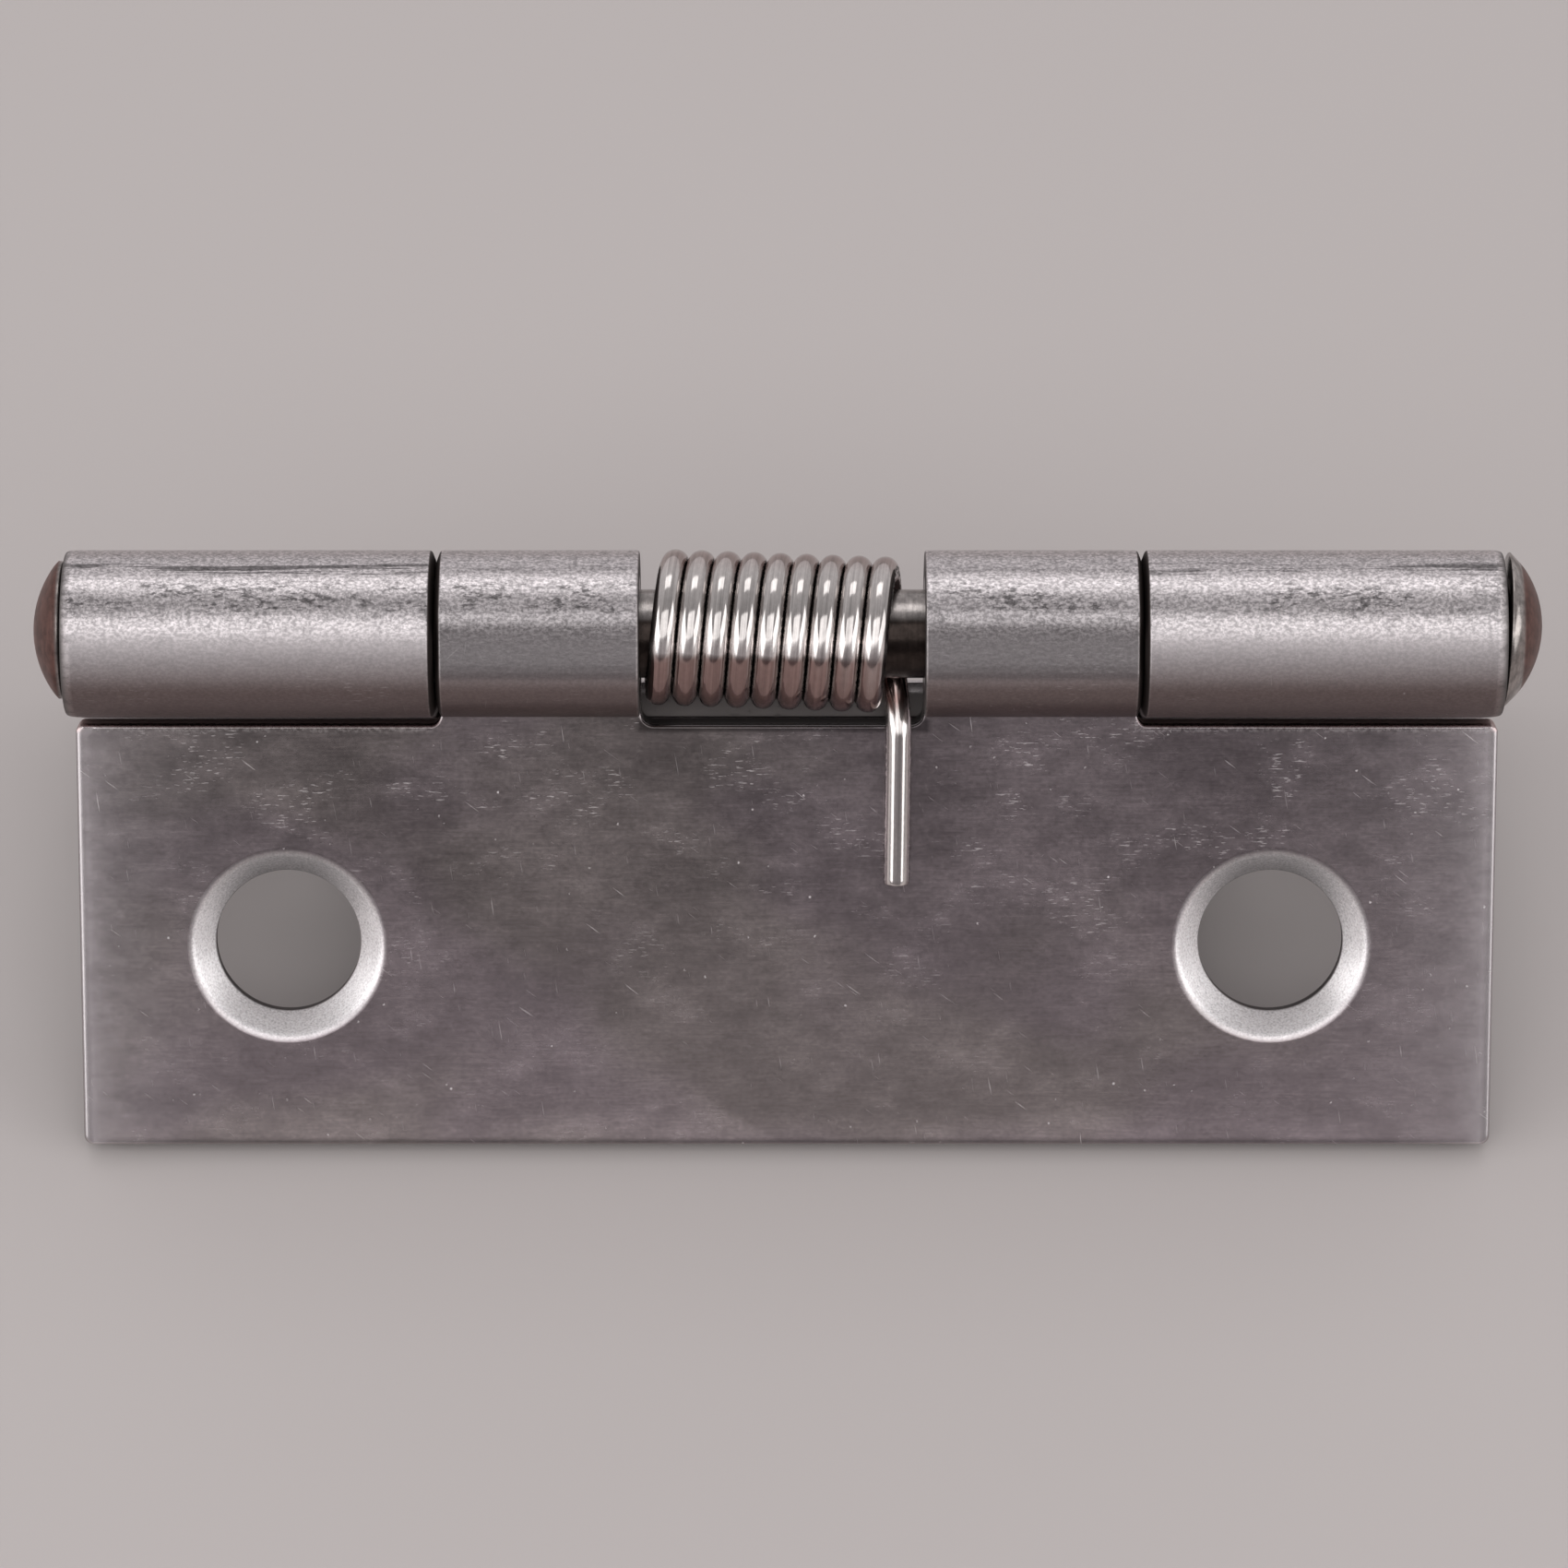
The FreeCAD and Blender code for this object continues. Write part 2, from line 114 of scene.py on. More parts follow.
def fanFaces(columns, flip=False):
    # Triangles from a ring of points to the one point that follows them.
    index = np.arange(columns)
    fan = np.stack([index, (index + 1) % columns, np.full(columns, columns)], axis=1)
    return fan[:, ::-1] if flip else fan


def makePatch(points, faces, values, border=False):
    # A part of a mesh: its points, faces, the values that its material reads, one per point, and
    # whether each point lies on a crease.
    shape = points.shape[:-1]
    return {"points": points, "faces": faces, "border": np.broadcast_to(border, shape),
            "values": {key: np.broadcast_to(value, shape) for key, value in values.items()}}


def makePiece(name, patches, material):
    # One closed, smooth mesh from patches. Points of different patches that share a place become
    # one, and edges that join two border points are creased.
    points = np.concatenate([patch["points"].reshape(-1, 3) for patch in patches])
    border = np.concatenate([patch["border"].ravel() for patch in patches])
    firsts = np.cumsum([0] + [patch["border"].size for patch in patches])
    _, kept, place = np.unique(np.round(points * weldSteps).astype(np.int64), axis=0,
                               return_index=True, return_inverse=True)
    place = place.ravel()
    faces = []
    for patch, first in zip(patches, firsts):
        faces += place[patch["faces"] + first].tolist()
    mesh = bpy.data.meshes.new(name)
    mesh.from_pydata(points[kept].tolist(), [], faces)
    mesh.polygons.foreach_set("use_smooth", np.ones(len(mesh.polygons), bool))
    onBorder = np.zeros(len(kept), bool)
    np.logical_or.at(onBorder, place, border)
    ends = np.empty(len(mesh.edges) * 2, np.int32)
    mesh.edges.foreach_get("vertices", ends)
    mesh.edges.foreach_set("use_edge_sharp", onBorder[ends.reshape(-1, 2)].all(axis=1))
    for key in patches[0]["values"]:
        values = np.concatenate([patch["values"][key].ravel() for patch in patches])
        attribute = mesh.attributes.new(key, "FLOAT", "POINT")
        attribute.data.foreach_set("value", values[kept].astype(np.float32))
    mesh.materials.append(material)
    piece = bpy.data.objects.new(name, mesh)
    bpy.context.scene.collection.objects.link(piece)
    print("stage:", name, len(mesh.polygons), "faces")
    return piece


# Sheet leaves.

sheetPlan = {
    "thickness": 0.0020,
    "reach": 0.0287,
    "notchDistance": 0.0055,
    "notchCorner": 0.0007,
    "leafCorner": 0.0005,
    "tabCorner": 0.0004,
    "edgeRoll": 0.00014,
    "endRoll": 4.0,
    "endsBeyond": 0.03,
    "endFlare": 0.00019,
    "flareBeyond": 0.012,
    "flareBevel": 0.0005,
    "seamGap": 0.0002,
    "flatSoftness": 0.00012,
    "flatReach": 1.2,
    "holeDistance": 0.0176,
    "countersinkRadius": 0.0051,
    "countersinkLip": 0.0003,
    "boreBrink": 0.0001,
    "gridStep": 0.0009,
    "gridMargin": 0.00045,
    "curlMargin": 0.0005,
    "curlSteps": 66,
    "curlFade": 0.0015,
    "cornerSteps": 8,
    "rollSteps": 4,
    "lipSteps": 5,
    "holeSteps": 96,
    "frameShift": 0.1,
}

frameLeafPlan = {
    "name": "frameLeafSheet", "node": "frame_leaf", "body": "frame", "side": 1,
    "ends": (-0.0380, 0.0380),
    "knuckles": [(-0.0380, -0.01865), (0.01915, 0.0380)],
    "knuckleFlat": 0.0,
    "mount": "frame_leaf_holes",
}

doorLeafPlan = {
    "name": "doorLeafSheet", "node": "door_leaf", "body": "door", "side": -1,
    "ends": (-0.0379, 0.0382),
    "knuckles": [(-0.01817, -0.00765), (0.00745, 0.0187)],
    "knuckleFlat": 0.0003,
    "mount": "door_leaf_holes",
}

thickness, rootLine = sheetPlan["thickness"], sheetPlan["reach"]
boreRadius = barrelRadius - thickness
lipAngle = math.asin((boreRadius - sheetPlan["seamGap"]) / barrelRadius)
curlAngle = 1.5 * math.pi + lipAngle
curlRadius = boreRadius + thickness / 2
curlEnd = rootLine + curlRadius * curlAngle
curlStep = curlRadius * curlAngle / sheetPlan["curlSteps"]
notchLine = rootLine - sheetPlan["notchDistance"]
holeLine = rootLine - sheetPlan["holeDistance"]


def bendSheet(flat, depth, side, knuckleFlat):
    # Sheet coordinates to the hinge's frame. flat holds (x, s): s runs up the leaf from its free
    # edge and on round the curl, along the sheet's middle. depth runs from the countersunk face and
    # the bore to the other face. Up to the root the point lies at the leaf's plane; past it, at
    # bore radius plus depth from the pin's axis, turned by s over the radius. The press flattened
    # the curl by knuckleFlat opposite its root: there the outside is the smooth minimum of the
    # round and of a straight chord, and the bore stays round.
    x, s = flat[..., 0], flat[..., 1]
    down, out = leafDown(side), leafOut(side)
    turn = np.clip((s - rootLine) / curlRadius, 0, None)
    outside = barrelRadius
    if knuckleFlat:
        fromTop = np.clip(turn - math.pi, -sheetPlan["flatReach"], sheetPlan["flatReach"])
        chord = (barrelRadius - knuckleFlat) / np.cos(fromTop)
        soft = sheetPlan["flatSoftness"]
        share = np.clip(0.5 + 0.5 * (chord - barrelRadius) / soft, 0, 1)
        outside = chord + (barrelRadius - chord) * share - soft * share * (1 - share)
    level = boreRadius + depth * (outside - boreRadius) / thickness
    along = np.where(turn > 0, -np.sin(turn) * level, rootLine - s)
    height = np.where(turn > 0, -np.cos(turn) * level, -level)
    spread = along[..., None] * down + height[..., None] * out + pinAxis
    spread[..., 0] += x
    return spread


def leafCorners(plan):
    # The leaf's outline in sheet coordinates, anticlockwise: each corner as (x, s, radius, bend),
    # where bend is 1 at an outward corner and -1 at an inward one.
    left, right = plan["ends"]
    corner, tab, notch = (sheetPlan[key] for key in ("leafCorner", "tabCorner", "notchCorner"))
    corners = [(left, 0.0, corner, 1), (right, 0.0, corner, 1)]
    if plan["knuckles"][-1][1] < right:
        corners.append((right, notchLine, tab, 1))
    for start, end in plan["knuckles"][::-1]:
        if end < right:
            corners.append((end, notchLine, notch, -1))
        corners.append((end, curlEnd, tab, 1))
        corners.append((start, curlEnd, tab, 1))
        if start > left:
            corners.append((start, notchLine, notch, -1))
    if plan["knuckles"][0][0] > left:
        corners.append((left, notchLine, tab, 1))
    return corners


def outlineRing(corners, profile):
    # The outline moved inwards, as points. profile is (roll, flare): the first moves every side,
    # more at the leaf's free ends, and the second only the knuckle ends beside another knuckle.
    # Each corner is a quarter of an ellipse about the same centre in every ring, so rings match
    # point for point.
    count = len(corners)
    place = np.array([corner[:2] for corner in corners])
    radius = np.array([corner[2] for corner in corners])
    bend = np.array([corner[3] for corner in corners])
    before = place - np.roll(place, 1, axis=0)
    before /= np.linalg.norm(before, axis=1)[:, None]
    after = np.roll(before, -1, axis=0)
    inward = np.stack([-before[:, 1], before[:, 0]], axis=1)
    centre = place + (after - before) * radius[:, None]
    upright = np.abs(before[:, 0]) < 0.5
    x = np.abs(place[:, 0])
    atEnd = upright & (x > sheetPlan["endsBeyond"])
    atKnuckle = upright & (x > sheetPlan["flareBeyond"]) & (x < sheetPlan["endsBeyond"])
    inset = profile[0] * np.where(atEnd, sheetPlan["endRoll"], 1.0) - profile[1] * atKnuckle
    steps = np.linspace(0, math.pi / 2, sheetPlan["cornerSteps"] + 1)
    reach = radius - bend * inset
    reachAfter = radius - bend * np.roll(inset, -1)
    ring = []
    for i in range(count):
        outward = -inward[i] * bend[i]
        arc = centre[i] + (reach[i] * np.cos(steps)[:, None] * outward
                           + reachAfter[i] * np.sin(steps)[:, None] * before[i])
        ring.append(arc)
        j = (i + 1) % count
        span = np.linalg.norm(place[j] - place[i])
        step = sheetPlan["gridStep"] if abs(after[i][0]) > 0.5 else curlStep
        pieces = max(2, round(span / step))
        share = np.arange(1, pieces)[:, None] / pieces
        ring.append(arc[-1] * (1 - share) + (centre[j] - reach[j] * inward[j] * bend[j]) * share)
    return np.concatenate(ring)


def edgeProfile():
    # The sheared edge from face to face, as (roll, flare, depth): a quarter round at each face, and
    # a flare that falls off in the last part before the outside.
    roll, bevel = sheetPlan["edgeRoll"], sheetPlan["flareBevel"]
    turn = np.linspace(0, math.pi / 2, sheetPlan["rollSteps"] + 1)
    front = np.stack([roll * (1 - np.sin(turn)), roll * (1 - np.cos(turn))], axis=1)
    back = front[::-1] * [1, -1] + [0, thickness]
    edge = np.concatenate([front, [[0, thickness - bevel]], back])
    flare = sheetPlan["endFlare"] * ramp(edge[:, 1], thickness, thickness - bevel)
    return np.stack([edge[:, 0], flare, edge[:, 1]], axis=1)


def holeProfile(holeRadius):
    # A countersunk hole's wall from face to face, as (radius, depth, turned, cut): an arc of an
    # eighth of a circle from the face into the cone, the cone at 45 degrees, and the punched bore.
    # turned is 1 on the cone, and cut is the share of the look of a sheared edge.
    lip, top, roll, brink, steps = (sheetPlan[key] for key in (
        "countersinkLip", "countersinkRadius", "edgeRoll", "boreBrink", "lipSteps"))
    coneDepth = top - holeRadius
    index = np.arange(steps + 1)
    turn = index / steps * math.pi / 4
    arcRadius = lip / math.tan(math.pi / 8)
    arc = np.stack([top + lip - arcRadius * np.sin(turn), arcRadius * (1 - np.cos(turn)),
                    ramp(index, 0, steps - 1), 0 * turn], axis=1)
    inner = np.array([
        (top - 0.5 * coneDepth, 0.5 * coneDepth, 1, 0),
        (holeRadius + 0.6 * brink, coneDepth - 0.5 * brink, 1, 0),
        (holeRadius + 0.1 * brink, coneDepth + 0.2 * brink, 0.6, 0.4),
        (holeRadius, coneDepth + brink, 0, 0.9),
        (holeRadius, thickness - roll, 0, 0.9),
        (holeRadius + roundShare * roll, thickness - roundShare * roll, 0, 0.5),
        (holeRadius + roll, thickness, 0, 0),
    ])
    return np.concatenate([arc, inner])


def faceMesh(plan, ring, holes, holeRadius):
    # Triangles that fill the face inside the ring and outside the hole circles, with an even grid
    # of points between them so that the sheet can bend round its curl. The grid stands off every
    # edge by a margin or a share of a step.
    left, right = plan["ends"]
    step, margin = sheetPlan["gridStep"], sheetPlan["gridMargin"]
    inset = sheetPlan["edgeRoll"] * sheetPlan["endRoll"] + 0.4 * step
    xs = np.arange(left + inset, right - inset, step)
    leafRows = np.arange(0.7 * step, rootLine, step)
    curlRows = np.arange(rootLine + 0.2 * curlStep, curlEnd - sheetPlan["curlMargin"], curlStep)
    gridX, gridS = (grid.ravel() for grid in np.meshgrid(xs, np.concatenate([leafRows, curlRows])))
    keep = gridS < notchLine - margin
    for start, end in plan["knuckles"]:
        keep |= (gridX > start + margin) & (gridX < end - margin) & (gridS < curlEnd - margin)
    keep &= gridS > margin
    turn = fullTurn(sheetPlan["holeSteps"])
    loops = [ring]
    for centreX in holes:
        keep &= np.hypot(gridX - centreX, gridS - holeLine) > holeRadius + 0.5 * step
        loops.append(np.stack([centreX + holeRadius * np.cos(turn),
                               holeLine + holeRadius * np.sin(turn)], axis=1))
    points = np.concatenate(loops + [np.stack([gridX[keep], gridS[keep]], axis=1)])
    edges = []
    first = 0
    for loop in loops:
        index = np.arange(len(loop))
        edges.append(np.stack([index, (index + 1) % len(loop)], axis=1) + first)
        first += len(loop)
    # The triangulation works in millimetres.
    _, _, triangles, sources, _, _ = geometry.delaunay_2d_cdt(
        (points * perMetre).tolist(), np.concatenate(edges).tolist(), [], 1, 1e-6)
    flat = points[[source[0] for source in sources]]
    triangles = np.array(triangles)
    middle = flat[triangles].mean(axis=1)
    solid = np.ones(len(triangles), bool)
    for centreX in holes:
        solid &= np.hypot(middle[:, 0] - centreX, middle[:, 1] - holeLine) > 0.999 * holeRadius
    return flat, triangles[solid]


def leafPatch(plan, flat, depth, faces, border=False, cut=0.0, turned=0.0, shade=0.0):
    # A patch of the leaf from its sheet coordinates, with what its material reads: x, s, depth and
    # the distance from the nearer end in millimetres, curl, which grows from leaf to knuckle, the
    # angle round the knuckle in degrees from the level in front over the top, and shares for a
    # sheared edge, a hole's turned wall and that wall's upper part, which is painted in shade. The
    # frame leaf's x is shifted, so that the two leaves have different patterns.
    side, (left, right) = plan["side"], plan["ends"]
    x, s = flat[..., 0], flat[..., 1]
    turn = np.clip((s - rootLine) / curlRadius, 0, None)
    level = math.degrees(leafSlope) - 90
    values = {
        "sheetX": (x + sheetPlan["frameShift"] * (side > 0)) * perMetre,
        "sheetS": s * perMetre,
        "depth": depth * perMetre,
        "end": np.minimum(x - left, right - x) * perMetre,
        "curl": ramp(s, rootLine - sheetPlan["curlFade"], rootLine),
        "around": (level if side > 0 else 180 - level) + side * np.degrees(turn),
        "cut": cut, "turned": turned, "shade": shade,
    }
    return makePatch(bendSheet(flat, depth, side, plan["knuckleFlat"]), faces, values, border)


def makeLeaf(plan, material):
    # One leaf: two filled faces, the sheared edge as its profile carried round the outline, and
    # each hole's wall as its profile turned about the hole's middle.
    side, mount = plan["side"], holeMounts[plan["mount"]]
    spacing = mount["dims"]["pcd_mm"] / perMetre
    holes = [mount["pos_m"][0] + sign * spacing / 2 for sign in (-1, 1)]
    corners, edge = leafCorners(plan), edgeProfile()
    wall = holeProfile(mount["dims"]["hole_r_mm"] / perMetre)
    rings = np.stack([outlineRing(corners, profile) for profile in edge[:, :2]])
    ends = np.isin(np.arange(len(edge)), (0, len(edge) - 1))[:, None]
    cut = 1 - np.minimum(1, edge[:, :1] / sheetPlan["edgeRoll"])
    patches = [leafPatch(plan, rings, edge[:, 2:],
                         gridFaces(len(edge), rings.shape[1], side < 0), ends, cut)]
    turn = fullTurn(sheetPlan["holeSteps"])
    ends = np.isin(np.arange(len(wall)), (0, len(wall) - 1))[:, None]
    # Painted shade on the upper part of the wall: 1 near its top, 0 from 18 degrees above its
    # middle down.
    shade = np.clip(np.sin(turn) * 1.6 - 0.5, 0, 1)
    for centreX in holes:
        circle = np.stack([centreX + wall[:, :1] * np.cos(turn),
                           holeLine + wall[:, :1] * np.sin(turn)], axis=-1)
        patches.append(leafPatch(plan, circle, wall[:, 1:2],
                                 gridFaces(len(wall), len(turn), side > 0), ends,
                                 wall[:, 3:], wall[:, 2:3], shade))
    for ring, depth, radius, flip in (
        (rings[0], 0.0, wall[0, 0], side > 0),
        (rings[-1], thickness, wall[-1, 0], side < 0),
    ):
        flat, triangles = faceMesh(plan, ring, holes, radius)
        patches.append(leafPatch(plan, flat, depth, triangles[:, ::-1] if flip else triangles))
    leaf = makePiece(plan["name"], patches, material)
    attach(leaf, plan["body"])
    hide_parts(plan["node"])
    return leaf


# Pin.

pinPlan = {
    "radius": 0.00235,
    "leftSeat": -0.0381, "leftTip": -0.03975, "leftHeadRadius": 0.00365, "leftFlank": 0.00035,
    "rightSeat": 0.03818, "rightTip": 0.04015, "rightHeadRadius": 0.00412, "rightFlank": 0.0007,
    "rightTaper": 0.0006,
    "headLift": 0.0002,
    "rightHeadTilt": 0.042,
    "darkMiddle": -10,
    "edgeRadius": 0.0001,
    "shankRings": (-0.012, 0.0, 0.012),
    "turnSteps": 96,
    "domeSteps": 14,
}


def domeCurve(tip, rim, rimRadius):
    # A dome's half outline from its tip up to its rim, which is left out: an arc centred on the
    # axis.
    across = rim - tip
    radius = (across ** 2 + rimRadius ** 2) / (2 * across)
    centre = tip + radius
    end = math.atan2(rimRadius, rim - centre)
    start = math.pi if across > 0 else 0.0
    turn = np.linspace(start, end, pinPlan["domeSteps"])[:-1]
    return np.stack([centre + abs(radius) * np.cos(turn), abs(radius) * np.sin(turn)], axis=1)


def pinOutline():
    # The pin's half outline from tip to tip, as (place along the axis, radius).
    plan = pinPlan
    leftSeat, rightSeat, radius = plan["leftSeat"], plan["rightSeat"], plan["radius"]
    leftTop, rightTop = plan["leftHeadRadius"], plan["rightHeadRadius"]
    edge = plan["edgeRadius"]
    corner = roundShare * edge
    leftRim, rightRim = leftSeat - plan["leftFlank"], rightSeat + plan["rightFlank"]
    rimTop = rightTop - plan["rightTaper"]
    left = domeCurve(plan["leftTip"], leftRim, leftTop)
    right = domeCurve(plan["rightTip"], rightRim, rimTop)[::-1]
    middle = [
        (leftRim + corner, leftTop),
        (leftSeat - edge, leftTop), (leftSeat - corner, leftTop - corner),
        (leftSeat, leftTop - edge), (leftSeat, radius + edge), (leftSeat + edge, radius),
        *((x, radius) for x in plan["shankRings"]),
        (rightSeat - edge, radius), (rightSeat, radius + edge), (rightSeat, rightTop - edge),
        (rightSeat + corner, rightTop - corner), (rightSeat + edge, rightTop),
        (rightRim - corner, rimTop + corner / 2),
    ]
    return np.concatenate([left, middle, right])


def moveHeads(points):
    # Points about the pin's axis to the hinge's frame. Both heads were formed a little off the
    # middle, and the right one leans: headLift moves them square to the leaf in front, and x grows
    # by the tilt times the height.
    across = np.array([0.0, math.sin(leafSlope), math.cos(leafSlope)])
    onLeft = points[..., 0] <= pinPlan["leftSeat"]
    onRight = points[..., 0] >= pinPlan["rightSeat"]
    moved = points + pinAxis + across * ((onLeft | onRight) * pinPlan["headLift"])[..., None]
    moved[..., 0] += onRight * pinPlan["rightHeadTilt"] * (points @ across)
    return moved


def makePin(material):
    # The pin's half outline turned about its axis. The material reads front: the cosine of the
    # angle from the dark middle, and 1 on the heads' seats.
    outline, turn = pinOutline(), fullTurn(pinPlan["turnSteps"])
    grid = np.stack(np.broadcast_arrays(
        outline[:, :1], outline[:, 1:] * np.cos(turn), outline[:, 1:] * np.sin(turn)), axis=-1)
    inner = moveHeads(grid[1:-1])
    front = np.cos(turn + math.radians(pinPlan["darkMiddle"]) - math.pi)
    seat = np.isin(outline[1:-1, 0], (pinPlan["leftSeat"], pinPlan["rightSeat"]))
    front = np.maximum(front, seat[:, None])
    patches = [makePatch(inner, gridFaces(len(inner), len(turn)), {"front": front})]
    for row, flip in ((0, True), (-1, False)):
        tip = moveHeads(np.array([[outline[row, 0], 0.0, 0.0]]))
        patches.append(makePatch(np.concatenate([inner[row], tip]), fanFaces(len(turn), flip),
                                 {"front": np.append(front[row], 0.0)}))
    pin = makePiece("rivetPin", patches, material)
    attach(pin, "frame")
    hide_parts("hinge_pin")
    return pin


# Spring.

springWire = {
    "wire": 0.00138, "coilDiameter": 0.0083, "pitch": 0.00139, "wholeTurns": 8,
    "firstX": -0.00661,
    "pinGap": 0.00006,
    "legGap": 0.00006,
    "bendAngle": math.radians(16),
    "bendRadius": 0.003,
    "legReach": 0.014,
    "legDrift": 0.0001,
    "rightLegShift": 0.0003,
    "cutRadius": 0.00008,
    "turnSteps": 80,
    "bendSteps": 8,
    "legStep": 0.0003,
    "roundSteps": 24,
}

# Where the wire has a painted brown reflection and a painted highlight band, as pairs from 0 to
# 1: by the angle about the pin in degrees from the level in front, by the place across the section
# and by the distance from the pin.
wireZones = {
    "reflectionLow": (34, 30),
    "reflectionBack": (98, 122),
    "reflectionBackShare": 0.8,
    "reflectionMiddle": -0.08,
    "reflectionAcross": (0.85, 0.65),
    "sheenBelow": (48, 42),
    "sheenAbove": (30, 34),
    "legSheen": 0.3,
    "coil": (0.0048, 0.0043),
    "lowestAngle": -75,
}


def unit(vector):
    # The vector, or each row of them, over its length.
    return vector / np.linalg.norm(vector, axis=-1, keepdims=True)


def legLine(point, direction, side, drift, shift):
    # A leg's middle line from the coil's end: straight to the leaf, an arc and straight along the
    # leaf. shift moves its bend along the pin, and drift its tip.
    plan = springWire
    down, out = leafDown(side), leafOut(side)
    height = -boreRadius + plan["wire"] / 2 + plan["legGap"]
    start = point - pinAxis
    corner = start + direction * ((height - start @ out) / (direction @ out))
    corner[0] += shift
    tip = corner + down * (plan["legReach"] - corner @ down)
    tip[0] += drift
    back, ahead = unit(start - corner), unit(tip - corner)
    half = math.acos(np.clip(back @ ahead, -1, 1)) / 2
    centre = corner + unit(back + ahead) * plan["bendRadius"] / math.sin(half)
    along = plan["bendRadius"] / math.tan(half)
    arcStart, arcEnd = corner + back * along, corner + ahead * along
    swing = np.linspace(0, math.pi - 2 * half, plan["bendSteps"] + 1)[:, None]
    arc = (centre + (arcStart - centre) * np.cos(swing)
           - back * plan["bendRadius"] * np.sin(swing))
    firstCount = max(3, int(np.linalg.norm(arcStart - start) / plan["legStep"]))
    lastCount = max(3, int(np.linalg.norm(tip - arcEnd) / plan["legStep"]))
    firstRun = start + (arcStart - start) * (np.arange(1, firstCount) / firstCount)[:, None]
    lastRun = arc[-1] + (tip - arc[-1]) * (np.arange(1, lastCount + 1) / lastCount)[:, None]
    return np.concatenate([firstRun, arc, lastRun]) + pinAxis


def springLine():
    # The wire's middle line. The coil is a left-hand helix about a line that leans a little,
    # because the legs press each of its ends against the pin.
    plan = springWire
    coilRadius = (plan["coilDiameter"] - plan["wire"]) / 2
    push = coilRadius - plan["wire"] / 2 - pinPlan["radius"] - plan["pinGap"]
    bend = plan["bendAngle"]
    turns = plan["wholeTurns"] + 1 - (leafSlope - bend) / math.pi
    leftMiddle = np.array([plan["firstX"], 0, 0]) + leafOut(1) * push
    rightMiddle = np.array([plan["firstX"] + plan["pitch"] * turns, 0, 0]) + leafOut(-1) * push
    axis = unit(rightMiddle - leftMiddle)
    start = leafDown(1) * math.sin(bend) - leafOut(1) * math.cos(bend)
    start = unit(start - axis * (start @ axis))
    across = np.cross(axis, start)
    turn = np.linspace(0, 2 * math.pi * turns, int(turns * plan["turnSteps"]) + 1)[:, None]
    rise = plan["pitch"] / (2 * math.pi)
    coil = (leftMiddle + axis * (turn * rise)
            + coilRadius * (start * np.cos(turn) - across * np.sin(turn))) + pinAxis
    first, last = (unit(axis * rise - coilRadius * (start * math.sin(angle)
                                                    + across * math.cos(angle)))
                   for angle in (0.0, 2 * math.pi * turns))
    left = legLine(coil[0], -first, 1, plan["legDrift"], 0.0)
    right = legLine(coil[-1], last, -1, -plan["legDrift"], plan["rightLegShift"])
    return np.concatenate([left[::-1], coil, right])


def wirePatch(points, faces, across, over, run):
    # A patch of the wire with what its material reads: the place in the section, across and over
    # from -1 to 1, run, the length along the wire in millimetres, paintedReflection, a painted
    # brown reflection low on the coil's front and painted shade over its back, and wearAndSheen, a
    # painted highlight band above it and a little of the legs.
    zones = wireZones
    relative = points - pinAxis
    around = np.degrees(np.arctan2(relative[..., 2], -relative[..., 1]))
    around = np.where(around < zones["lowestAngle"], around + 360, around)
    onCoil = ramp(np.hypot(relative[..., 1], relative[..., 2]), *zones["coil"])
    low = ramp(around, *zones["reflectionLow"])
    low = low * ramp(np.abs(across - zones["reflectionMiddle"]), *zones["reflectionAcross"])
    paintedReflection = np.maximum(low, ramp(around, *zones["reflectionBack"]) * zones["reflectionBackShare"])
    wearAndSheen = ramp(around, *zones["sheenBelow"]) * ramp(around, *zones["sheenAbove"])
    return makePatch(points, faces, {
        "across": across, "over": over, "run": run, "paintedReflection": paintedReflection * onCoil,
        "wearAndSheen": wearAndSheen * onCoil + zones["legSheen"] * (1 - onCoil)})


def makeSpring(material):
    # A round section carried along the wire's line, square to it by the line's direction and the
    # pin's, which are never parallel. The cut ends are rounded and closed.
    plan = springWire
    line = springLine()
    tangent = unit(np.gradient(line, axis=0))
    pinWay = np.array([1.0, 0, 0])
    sideways = unit(pinWay - tangent * (tangent @ pinWay)[:, None])
    upright = np.cross(tangent, sideways)
    cut = plan["cutRadius"]
    steps = np.array([0.0, roundShare, 1.0])[:, None] * cut
    last = len(line) - 1
    line = np.concatenate([line[0] + tangent[0] * steps, line[1:-1],
                           line[-1] - tangent[-1] * steps[::-1]])
    repeat = np.r_[[0, 0, 0], np.arange(1, last), [last, last, last]]
    sideways, upright = sideways[repeat], upright[repeat]
    radius = np.full(len(line), plan["wire"] / 2)
    radius[[0, -1]] -= cut
    radius[[1, -2]] -= roundShare * cut
    turn = fullTurn(plan["roundSteps"])
    across, over = np.cos(turn), np.sin(turn)
    grid = (line[:, None] + radius[:, None, None] * (
        across[None, :, None] * sideways[:, None] + over[None, :, None] * upright[:, None]))
    run = np.cumsum(np.linalg.norm(np.diff(line, axis=0, prepend=line[:1]), axis=1)) * perMetre
    run = run[:, None]
    patches = [wirePatch(grid, gridFaces(len(line), len(turn)), across, over, run)]
    for row, flip in ((0, True), (-1, False)):
        points = np.concatenate([grid[row], line[row][None]])
        patches.append(wirePatch(points, fanFaces(len(turn), flip), np.append(across, 0),
                                 np.append(over, 0), run[row]))
    spring = makePiece("torsionSpring", patches, material)
    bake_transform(spring)
    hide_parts("torsion_spring")
    return spring


# Materials.

def newMaterial(name):
    # A material with its nodes and its Principled shader.
    material = bpy.data.materials.new(name)
    material.use_nodes = True
    return material, material.node_tree, material.node_tree.nodes["Principled BSDF"]


def fill(node, inputs):
    # Sets each of the node's sockets to its value, or links another node's socket to it.
    for socket, value in inputs.items():
        if isinstance(value, bpy.types.NodeSocket):
            node.id_data.links.new(value, node.inputs[socket])
        else:
            node.inputs[socket].default_value = value


